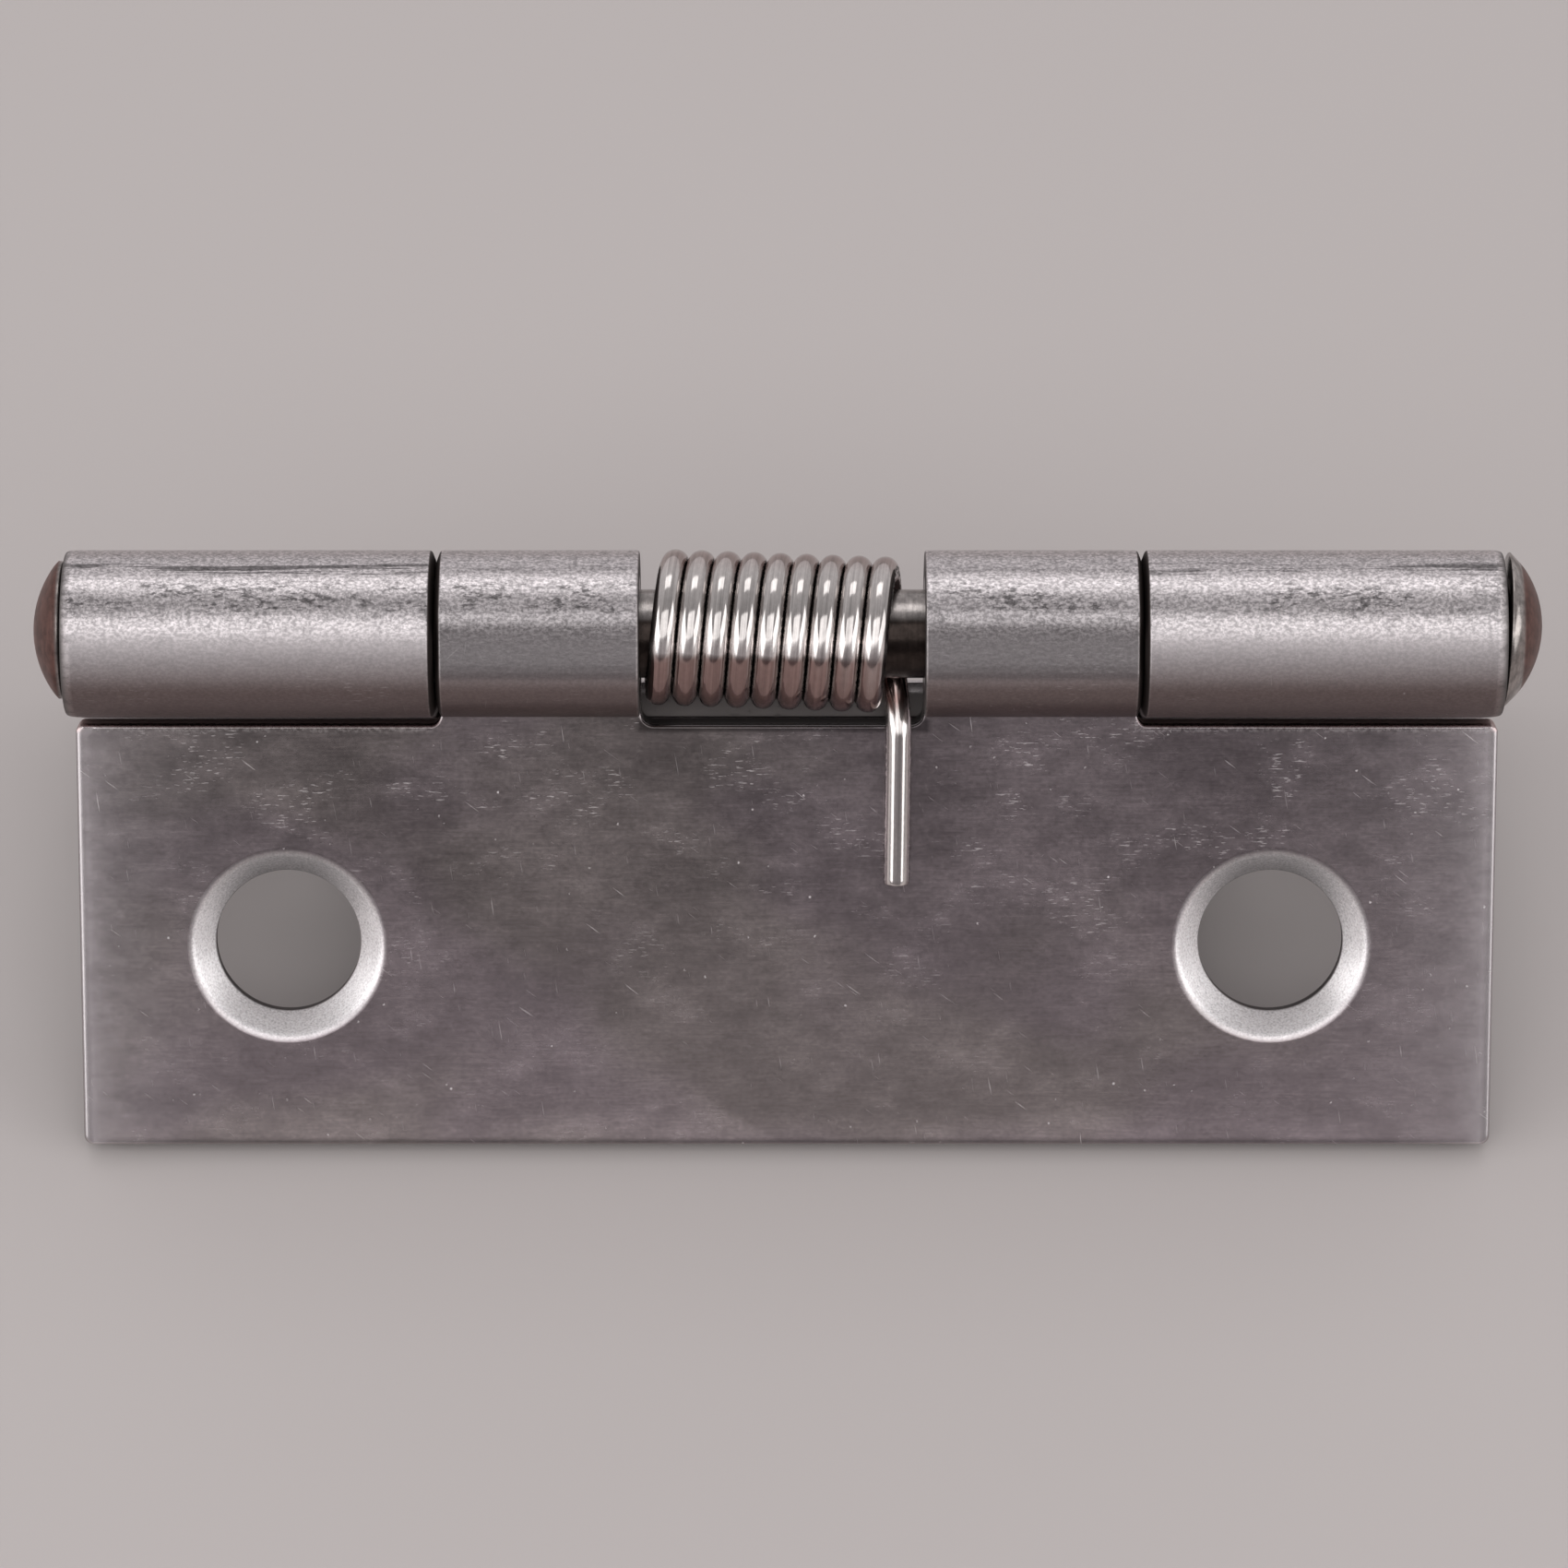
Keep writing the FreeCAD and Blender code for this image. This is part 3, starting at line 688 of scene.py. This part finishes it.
def addNode(kind, inputs, output=0, tree=None, **settings):
    # The wanted output of a new shader node, in the tree given or in that of its linked inputs.
    for value in inputs.values():
        if isinstance(value, bpy.types.NodeSocket):
            tree = value.id_data
    node = tree.nodes.new("ShaderNode" + kind)
    for key, value in settings.items():
        setattr(node, key, value)
    fill(node, inputs)
    return node.outputs[output]


def calc(operation, *values):
    # A Math node.
    return addNode("Math", dict(enumerate(values)), operation=operation)


def times(first, *others):
    # The product of the values.
    for value in others:
        first = calc("MULTIPLY", first, value)
    return first


def rise(value, low, high):
    # 0 below low, 1 above high and smooth between; falls instead where low is the larger.
    return addNode("MapRange", {"Value": value, "From Min": low, "From Max": high},
                   interpolation_type="SMOOTHSTEP")


def fade(share, low, high):
    # low where share is 0 and high where it is 1.
    return addNode("MapRange", {"Value": share, "To Min": low, "To Max": high})


def noise(place, stretch, detail, roughness, *levels):
    # Noise whose grains are 1 / stretch millimetres long; with two levels it rises between them.
    stretched = addNode("VectorMath", {0: place, 1: stretch}, operation="MULTIPLY")
    grain = addNode("TexNoise", {
        "Vector": stretched, "Scale": 1.0, "Detail": detail, "Roughness": roughness})
    return rise(grain, *levels) if levels else grain


def fadeColor(share, low, high):
    # The color low where share is 0 and high where it is 1.
    return addNode("Mix", {0: share, 6: low, 7: high}, 2, data_type="RGBA")


def toned(color, tone):
    # The color times the tone.
    return addNode("VectorMath", {0: color, "Scale": tone}, operation="SCALE")


def toneOf(shares, look, tones=None):
    # The product of the look's tones: each share's first number where it is 0, second where 1.
    return times(*(fade(shares[name], *ends) for name, ends in (tones or sheetTones)[look].items()))


def addShares(value, *shares):
    # The value plus each share times its weight.
    for share, weight in shares:
        value = calc("MULTIPLY_ADD", share, weight, value)
    return value


def calmed(tone, share):
    # 1 plus the tone's distance from 1 times the share.
    return calc("ADD", 1.0, times(calc("SUBTRACT", tone, 1.0), share))


def readValue(tree, name):
    # One of the mesh's own values.
    return addNode("Attribute", {}, "Fac", tree, attribute_name=name)


def grained(height, grainHeight):
    # A normal bumped by height times grainHeight metres.
    return addNode("Bump", {"Height": height, "Strength": 1.0, "Distance": grainHeight})


sheetFinish = {
    "color": (0.347, 0.298, 0.313, 1),
    "warmColor": (0.340, 0.300, 0.294, 1),
    "endHighlightColor": (0.90, 0.84, 0.86, 1),
    "knuckleColor": (0.51, 0.475, 0.482, 1),
    "paintedUndersideColor": (0.19, 0.152, 0.148, 1),
    "burnishedColor": (0.40, 0.37, 0.375, 1),
    "fractureColor": (0.14, 0.128, 0.125, 1),
    "outerCutColor": (0.40, 0.30, 0.29, 1),
    "gapShadeColor": (0.045, 0.036, 0.034, 1),
    "turnedColor": (0.90, 0.87, 0.875),
    "scratchColor": (0.90, 0.86, 0.86, 1),
    "hueDrift": 0.003,
    "hueLevels": (0.42, 0.54),
    "tornLevels": (0.50, 0.72),
    "tornWander": 0.15,
    "groove": 18.7,
    # Size and rate per millimetre of each exponential of the painted highlight that brightens the
    # leaf's ends.
    "endHighlightFalloffs": ((0.7, -1.7), (0.6, -0.33)),
    # Angle and shift of each set of scratches.
    "scratches": ((1.42, 3.0), (0.65, 17.0)),
    "scratchNoise": ((0.45, 9.0, 1.0), 1.0, 0.55, 0.74, 0.82),
    "speckScale": 0.8,
    "speckLevels": (0.07, 0.03),
    "markStrengths": {"specks": 0.8, "scratches": 0.45, "dashes": 1.0, "wearAndSheen": 0.16},
    "leafRoughness": 0.245,
    "leafWander": 0.04,
    "knuckleRoughness": 0.33,
    "frameRoughness": 0.17,
    "markRoughness": 0.3,
    "tornRoughness": 0.3,
    "turnedRoughness": 0.15,
    "turnedMetallic": 0.68,
    "grainHeight": 0.000008,
    "sparkleHeight": 0.9,
    "markDepth": 0.3,
}

# Grains per millimetre along the pin, along the sheet and through it, detail, roughness and, for
# marks, the levels where they begin and are full.
sheetNoises = {
    "streaks": ((0.5, 9.0, 3.0), 3.0, 0.6),
    "mottles": ((0.6, 1.0, 1.0), 4.0, 0.68),
    "grains": ((3.6, 4.6, 4.4), 2.5, 0.6),
    "sparkle": ((8.0, 8.0, 14.0), 2.0, 0.6),
    "hue": ((0.035, 0.05, 0.1), 2.0, 0.55),
    "clouds": ((0.10, 0.15, 0.2), 4.0, 0.62, 0.40, 0.60),
    "patches": ((0.21, 0.33, 0.3), 2.0, 0.55, 0.52, 0.64),
    "dashes": ((1.5, 10.0, 2.0), 2.0, 0.55, 0.60, 0.68),
    "smudges": ((0.09, 3.0, 1.0), 4.0, 0.7, 0.50, 0.55),
    "stains": ((0.2, 0.8, 0.6), 2.0, 0.55, 0.42, 0.56),
    "stainGrains": ((1.3, 4.5, 3.0), 4.0, 0.75, 0.50, 0.57),
    "flecks": ((4.5, 8.0, 8.0), 2.0, 0.7, 0.44, 0.56),
    "pits": ((1.3, 2.0, 2.0), 4.0, 0.72, 0.46, 0.66),
}

# What a zone goes by, where it begins and is full and, for a band, how far it is full and where
# it ends, in millimetres, degrees or shares.
notchLevel = notchLine * perMetre
sheetZones = {
    "upper": ("sheetS", 4.0, 19.0),
    "lower": ("sheetS", 26.0, -2.0),
    "lowerEnds": ("sheetS", 26.0, 2.0),
    "foot": ("sheetS", 2.2, 0.8),
    "footShadow": ("sheetS", 0.5, 0.05),
    "notch": ("sheetS", *(notchLevel + offset for offset in (-0.5, -0.2, 0.2, 0.5))),
    "door": ("sheetX", 60.0, 50.0),
    "frame": ("sheetX", 45.0, 55.0),
    "outside": ("away", 18.4, 19.0),
    "outerCut": ("away", 18.0, 18.6),
    "windowShade": ("away", 8.0, 7.6),
    "groove": ("fromGroove", 1.0, 0.8),
    "deepCut": ("cut", 0.25, 0.75),
    "pressed": ("around", 38, 60),
    # Below this angle the knuckles' underside is painted dark brown, as a reflection and shade.
    "paintedUnderside": ("around", 34, 4),
    "frameFront": ("around", 56, 42),
    "smudgeBand": ("around", 92, 97, 104, 110),
    "stainBand": ("around", 60, 68, 84, 92),
    # Painted shade on the door knuckles' flattened strip, which dims its reflection.
    "flattened": ("around", 16, 26, 60, 72),
    "speckGrains": ("grains", 0.47, 0.54),
    "wearAndSheen": ("grains", 0.40, 0.62),
}

# The shares that set each look's tone, with the tones where the share is 0 and 1.
sheetTones = {
    "leaf": {"clouds": (0.80, 1.16), "mottles": (0.72, 1.28), "streaks": (0.70, 1.30),
             "grains": (0.60, 1.40), "patches": (0.97, 1.12)},
    "leafContrast": {"upper": (0.6, 1.0)},
    # Painted light and shade on the leaf: darker towards the knuckles, brighter towards the free
    # edge, a light band above it and a dark shadow line along it.
    "leafShading": {"lower": (0.73, 1.42), "foot": (1.0, 1.25), "footShadow": (1.0, 0.4)},
    "ends": {"mottles": (0.6, 1.4), "lowerEnds": (0.8, 1.2)},
    "dashes": {"patches": (0.08, 1.0), "upper": (0.12, 0.45)},
    "smudges": {"door": (1.0, 0.25)},
    "knuckle": {"grains": (0.55, 1.45), "pits": (1.10, 0.80), "flecks": (0.76, 1.24)},
    "knuckleContrast": {"pressed": (0.25, 1.0)},
    "knuckleStainsAndShade": {"smudges": (1.0, 0.36), "stains": (1.0, 0.38), "flattened": (1.0, 0.60)},
    "marks": {"curl": (1.0, 0.3)},
    "rim": {"pits": (2.4, 0.4)},
    "windowShadeTone": {"windowShade": (1.0, 0.4)},
    "turned": {"sparkle": (0.35, 1.65), "shade": (1.0, 0.5)},
    "grainHeight": {"curl": (0.22, 1.0)},
}


def sheetShares(tree):
    # What the sheet's looks are mixed by: the mesh's own values, noises, zones and products of
    # these. fromGroove is the distance from the middle of a gap between knuckles.
    names = ("curl", "around", "cut", "turned", "shade", "depth", "sheetS", "sheetX", "end")
    shares = {name: readValue(tree, name) for name in names}
    x = shares["sheetX"]
    place = addNode("CombineXYZ", {0: x, 1: shares["sheetS"], 2: shares["depth"]})
    for name, settings in sheetNoises.items():
        shares[name] = noise(place, *settings)
    shares["away"] = calc("ABSOLUTE", x)
    onFrame = calc("ABSOLUTE", calc("SUBTRACT", x, sheetPlan["frameShift"] * perMetre))
    nearer = calc("MINIMUM", shares["away"], onFrame)
    shares["fromGroove"] = calc("ABSOLUTE", calc("SUBTRACT", nearer, sheetFinish["groove"]))
    for name, (by, begin, full, *rest) in sheetZones.items():
        shares[name] = rise(shares[by], begin, full)
        if rest:
            shares[name] = times(shares[name], rise(shares[by], rest[1], rest[0]))
    for name, *others in (
        ("notch", "door"), ("wearAndSheen", "notch", "outside"), ("windowShade", "notch"),
        ("outerCut", "notch"), ("flattened", "door"), ("smudges", "smudgeBand"),
        ("stains", "stainGrains", "stainBand"), ("groove", "deepCut", "curl"),
    ):
        shares[name] = times(*(shares[part] for part in (name, *others)))
    shares["smudges"] = times(shares["smudges"], toneOf(shares, "smudges"))
    return place, shares


def sheetMarks(place, shares):
    # Bright marks on the sheet: specks, scratches at two angles, dashes in patches of the leaf's
    # upper part and the worn edge at the notches, each by its strength.
    finish = sheetFinish
    spots = addNode("TexVoronoi", {"Vector": place, "Scale": finish["speckScale"]}, "Distance")
    scratches = 0.0
    for angle, shift in finish["scratches"]:
        rotated = addNode("VectorRotate", {"Vector": place, "Angle": angle}, rotation_type="Z_AXIS")
        shifted = addNode("VectorMath", {0: rotated, 1: (shift, shift, 0)}, operation="ADD")
        scratches = calc("MAXIMUM", scratches, noise(shifted, *finish["scratchNoise"]))
    found = {
        "specks": times(rise(spots, *finish["speckLevels"]), shares["speckGrains"]),
        "scratches": scratches,
        "dashes": times(shares["dashes"], toneOf(shares, "dashes")),
        "wearAndSheen": shares["wearAndSheen"],
    }
    marks = 0.0
    for name, strength in finish["markStrengths"].items():
        marks = calc("MAXIMUM", marks, times(found[name], strength))
    return times(marks, toneOf(shares, "marks"))


def leafColor(shares):
    # Blotches, streaks and grain, stronger towards the knuckles, on a leaf with painted shade that
    # makes it darker there and brighter towards its free edge, with a painted light band and a
    # painted shadow line along that edge; warmer to the left, and with a painted highlight towards
    # its two ends, by two exponentials of the distance.
    finish = sheetFinish
    tone = calmed(toneOf(shares, "leaf"), toneOf(shares, "leafContrast"))
    tone = times(tone, toneOf(shares, "leafShading"))
    cool = calc("MULTIPLY_ADD", shares["sheetX"], finish["hueDrift"], shares["hue"])
    color = fadeColor(rise(cool, *finish["hueLevels"]), finish["warmColor"], finish["color"])
    # Painted highlight: the leaf's colour runs towards a bright colour near its two ends.
    near, far = (times(calc("EXPONENT", times(shares["end"], rate)), size)
                 for size, rate in finish["endHighlightFalloffs"])
    endHighlight = times(calc("ADD", near, far), toneOf(shares, "ends"))
    return fadeColor(endHighlight, toned(color, tone), finish["endHighlightColor"])


def knuckleColor(shares):
    # A coarser pressed grain, darker smudges and stains, painted shade on the door knuckles'
    # flattened strip, and a painted dark brown reflection and shade on the underside.
    tone = calmed(toneOf(shares, "knuckle"), toneOf(shares, "knuckleContrast"))
    color = fadeColor(shares["paintedUnderside"], sheetFinish["knuckleColor"],
                      sheetFinish["paintedUndersideColor"])
    return toned(color, times(tone, toneOf(shares, "knuckleStainsAndShade")))


def sheetSteel():
    # Cold rolled sheet: the leaf's and the knuckles' looks, a burnished and a torn band on sheared
    # edges, painted shade on the knuckles' cut ends in the gaps between them and on the notch under
    # the spring, painted highlights on the knuckles' rolled rims, and bright turned holes with
    # painted shade on their upper part.
    finish = sheetFinish
    material, tree, shader = newMaterial("sheetSteel")
    place, shares = sheetShares(tree)
    curl, cut, turned = (shares[name] for name in ("curl", "cut", "turned"))
    marks = sheetMarks(place, shares)
    color = fadeColor(curl, leafColor(shares), knuckleColor(shares))
    color = fadeColor(marks, color, finish["scratchColor"])

    wander = fade(shares["grains"], -finish["tornWander"], finish["tornWander"])
    torn = rise(calc("ADD", shares["depth"], wander), *finish["tornLevels"])
    cutColor = fadeColor(torn, finish["burnishedColor"], finish["fractureColor"])
    cutColor = fadeColor(shares["outerCut"], cutColor, finish["outerCutColor"])
    color = fadeColor(cut, color, cutColor)
    # Painted highlight: the rolled rims of the knuckles' cut ends are brightened.
    rim = times(cut, calc("SUBTRACT", 1.0, cut), curl, toneOf(shares, "rim"))
    # Painted shade: the notch edge in the window under the spring is darkened.
    color = toned(color, times(calc("ADD", 1.0, rim), toneOf(shares, "windowShadeTone")))
    # Painted shade: the knuckles' cut ends in the gaps between them are nearly black.
    color = fadeColor(shares["groove"], color, finish["gapShadeColor"])
    color = fadeColor(turned, color, toned(finish["turnedColor"], toneOf(shares, "turned")))

    coarse = times(shares["frame"], shares["frameFront"], finish["frameRoughness"])
    wander = fade(shares["mottles"], -finish["leafWander"], finish["leafWander"])
    roughness = addNode("Mix", {0: curl, 2: calc("ADD", finish["leafRoughness"], wander),
                                3: calc("ADD", finish["knuckleRoughness"], coarse)})
    roughness = addShares(roughness, (marks, finish["markRoughness"]),
                          (times(cut, torn), finish["tornRoughness"]),
                          (turned, finish["turnedRoughness"]))

    sparkling = calc("MAXIMUM", turned, times(shares["pressed"], curl))
    height = addShares(times(shares["grains"], toneOf(shares, "grainHeight")),
                       (times(shares["sparkle"], sparkling), finish["sparkleHeight"]),
                       (marks, -finish["markDepth"]))
    fill(shader, {
        "Base Color": color,
        "Roughness": roughness,
        "Normal": grained(height, finish["grainHeight"]),
        "Metallic": fade(turned, 1.0, finish["turnedMetallic"]),
    })
    return material


springFinish = {
    "color": (0.56, 0.525, 0.51, 1),
    "reflectionColor": (0.30, 0.205, 0.19, 1),
    "sheenColor": (0.92, 0.86, 0.84, 1),
    "dirtColor": (0.04, 0.036, 0.034, 1),
    # Noises over the section and along the wire, as for the sheet.
    "lines": ((5.0, 5.0, 0.12), 2.0, 0.6),
    "specks": ((3.0, 3.0, 3.4), 3.0, 0.65),
    "dirtLevels": (0.47, 0.52),
    "flank": (0.86, 0.97),
    "tones": {"lines": (0.45, 1.55), "specks": (0.8, 1.2)},
    "roughness": 0.125,
    "roughnessWander": 0.05,
    "dirtRoughness": 0.3,
    "sheenRoughness": 0.12,
    "grainHeight": 0.0000012,
    "flankGrain": 8.0,
}


def springSteel():
    # Drawn and coiled wire: fine lines along it, a painted brown reflection, a painted highlight
    # band, and broken dirt and burrs along the wire's flanks, where the turns touch.
    finish = springFinish
    material, tree, shader = newMaterial("springSteel")
    across, over, run, paintedReflection, wearAndSheen = (
        readValue(tree, name) for name in ("across", "over", "run", "paintedReflection", "wearAndSheen"))
    section = addNode("CombineXYZ", {0: across, 1: over, 2: run})
    shares = {name: noise(section, *finish[name]) for name in ("lines", "specks")}
    flank = rise(calc("ABSOLUTE", across), *finish["flank"])
    # Painted highlight: a light band on the coil's front above the painted reflection, and on the
    # legs.
    color = fadeColor(wearAndSheen, finish["color"], finish["sheenColor"])
    # Painted reflection: dark brown low on the coil's front, and painted shade over its back.
    color = fadeColor(paintedReflection, color, finish["reflectionColor"])
    color = toned(color, toneOf(shares, "tones", finish))
    dirt = times(flank, rise(shares["specks"], *finish["dirtLevels"]))
    roughness = fade(shares["lines"], finish["roughness"] - finish["roughnessWander"],
                     finish["roughness"] + finish["roughnessWander"])
    roughness = addShares(roughness, (dirt, finish["dirtRoughness"]),
                          (wearAndSheen, finish["sheenRoughness"]))
    height = addShares(shares["lines"], (times(shares["specks"], flank), finish["flankGrain"]))
    fill(shader, {
        "Base Color": fadeColor(dirt, color, finish["dirtColor"]),
        "Roughness": roughness,
        "Normal": grained(height, finish["grainHeight"]),
        "Metallic": 1.0,
    })
    return material


pinFinish = {
    "color": (0.30, 0.275, 0.265, 1),
    "flankColor": (0.33, 0.30, 0.285, 1),
    "headColor": (0.10, 0.050, 0.042, 1),
    "pinShadeColor": (0.035, 0.027, 0.024, 1),
    # Noises per millimetre of the pin, as for the sheet.
    "grains": ((6.0, 6.0, 6.0), 3.0, 0.55),
    "rings": ((7.0, 0.6, 0.6), 2.0, 0.55),
    "stains": ((1.4, 1.4, 1.4), 5.0, 0.65, 0.30, 0.70),
    "tones": {"stains": (0.68, 1.32), "rings": (0.6, 1.4)},
    # Zones along the pin in millimetres, and the painted shade by the value front.
    "leftDome": (-38.15, -38.4),
    "rightDome": (38.8, 39.05),
    "rightFlank": (37.9, 38.1),
    "outerShank": (16.0, 17.0),
    "shank": (37.9, 37.0),
    "shadeFront": (0.07, 0.28),
    "roughness": 0.24,
    "headRoughness": 0.42,
    "headMetallic": 0.1,
    "specular": 0.2,
    "grainHeight": 0.000004,
}


def pinSteel():
    # Turned steel with fine rings, painted shade low in front and beside the knuckles' ends, and
    # with a brown skin of oxide, which is no longer metal, on the domes of both heads.
    finish = pinFinish
    material, tree, shader = newMaterial("pinSteel")
    place = toned(addNode("TexCoord", {}, "Object", tree), perMetre)
    x = addNode("SeparateXYZ", {0: place})
    away = calc("ABSOLUTE", x)
    shares = {name: noise(place, *finish[name]) for name in ("grains", "rings", "stains")}
    dome = calc("ADD", rise(x, *finish["leftDome"]), rise(x, *finish["rightDome"]))
    color = fadeColor(rise(x, *finish["rightFlank"]), finish["color"], finish["flankColor"])
    # Painted shade: the shank is darkened low in front and beside the knuckles' ends.
    dark = calc("MAXIMUM", rise(readValue(tree, "front"), *finish["shadeFront"]),
                rise(away, *finish["outerShank"]))
    dark = times(dark, rise(away, *finish["shank"]))
    color = fadeColor(dark, color, finish["pinShadeColor"])
    color = fadeColor(dome, color, finish["headColor"])
    fill(shader, {
        "Base Color": toned(color, toneOf(shares, "tones", finish)),
        "Roughness": fade(dome, finish["roughness"], finish["headRoughness"]),
        "Normal": grained(shares["grains"], finish["grainHeight"]),
        "Metallic": fade(dome, 1.0, finish["headMetallic"]),
        "Specular IOR Level": finish["specular"],
    })
    return material


# Stage.

stagePlan = {
    "floorColor": (0.53, 0.49, 0.48, 1),
    "floorRoughness": 0.9,
    "floorSize": 3.0,
    "worldFront": (0.20, 0.182, 0.188, 1),
    "worldTop": (0.44, 0.43, 0.435, 1),
    "worldBack": (0.72, 0.70, 0.71, 1),
}


def makeFloor():
    # A square of floor under the hinge, at its lowest point or at 0 where that is lower.
    half = stagePlan["floorSize"] / 2
    low = min(0.0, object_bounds()[0].z)
    corners = [(-half, -half, low), (half, -half, low), (half, half, low), (-half, half, low)]
    mesh = bpy.data.meshes.new("floor")
    mesh.from_pydata(corners, [], [(0, 1, 2, 3)])
    floor = bpy.data.objects.new("floor", mesh)
    bpy.context.scene.collection.objects.link(floor)
    material, _, shader = newMaterial("floorPaper")
    fill(shader, {"Base Color": stagePlan["floorColor"], "Roughness": stagePlan["floorRoughness"]})
    mesh.materials.append(material)


# Each lamp's turn from the camera's side, angle above the floor, over the top where it is more
# than 90, distance, width, depth and radiance.
lightPlan = {
    "frontLight": (0, 55, 0.9, 0.95, 0.64, 1.25),
    "backLight": (0, 121, 0.9, 0.62, 0.34, 1.3),
    "leftLight": (-66, 25, 0.7, 0.7, 0.38, 1.9),
    "rightLight": (66, 25, 0.7, 0.6, 0.38, 1.7),
}


def makeLights():
    # The lamps face the hinge, and each one's power is its radiance times its area times pi.
    for name, (turn, angle, distance, width, depth, radiance) in lightPlan.items():
        lamp = bpy.data.lights.new(name, "AREA")
        lamp.shape = "RECTANGLE"
        lamp.size, lamp.size_y = width, depth
        lamp.energy = radiance * width * depth * math.pi
        light = bpy.data.objects.new(name, lamp)
        angle, turn = math.radians(angle), math.radians(turn)
        level = distance * math.cos(angle)
        height = distance * math.sin(angle)
        light.location = (level * math.sin(turn), -level * math.cos(turn), height)
        light.rotation_euler = (math.pi / 2 - angle, 0, turn)
        bpy.context.scene.collection.objects.link(light)
    print("stage: lights")


def makeWorld():
    # The room around: a level in front, overhead and behind, mixed by a half plus half the
    # direction's y.
    world = bpy.data.worlds.new("studio")
    bpy.context.scene.world = world
    world.use_nodes = True
    tree = world.node_tree
    way = addNode("TexCoord", {}, "Generated", tree)
    share = calc("MULTIPLY_ADD", addNode("SeparateXYZ", {0: way}, "Y"), 0.5, 0.5)
    room = tree.nodes.new("ShaderNodeValToRGB")
    front, back = room.color_ramp.elements
    front.color, back.color = stagePlan["worldFront"], stagePlan["worldBack"]
    room.color_ramp.elements.new(0.5).color = stagePlan["worldTop"]
    fill(room, {0: share})
    fill(tree.nodes["Background"], {"Color": room.outputs[0]})


cameraPlan = {
    "distance": 0.385,
    "elevation": math.radians(51.2),
    "dropBelowPin": 0.00797,
    "focalPixels": 7875,
    "imagePixels": 1700,
    "sensorWidth": 36.0,
    "clipStart": 0.01,
}


def makeCamera():
    # The camera looks down at the pin from the front; its focal length in pixels gives the lens.
    plan = cameraPlan
    cosine, sine = math.cos(plan["elevation"]), math.sin(plan["elevation"])
    toward, up = np.array([0, -cosine, sine]), np.array([0, sine, cosine])
    data = bpy.data.cameras.new("camera")
    data.sensor_width = plan["sensorWidth"]
    data.lens = plan["focalPixels"] / plan["imagePixels"] * plan["sensorWidth"]
    data.clip_start = plan["clipStart"]
    camera = bpy.data.objects.new("camera", data)
    camera.location = pinAxis - plan["dropBelowPin"] * up + plan["distance"] * toward
    camera.rotation_euler = (math.pi / 2 - plan["elevation"], 0, 0)
    bpy.context.scene.collection.objects.link(camera)
    bpy.context.scene.camera = camera


leafFinish = sheetSteel()
makeLeaf(frameLeafPlan, leafFinish)
makeLeaf(doorLeafPlan, leafFinish)
makePin(pinSteel())
makeSpring(springSteel())
makeFloor()
makeLights()
makeWorld()
makeCamera()
bpy.context.scene.view_settings.view_transform = "Standard"
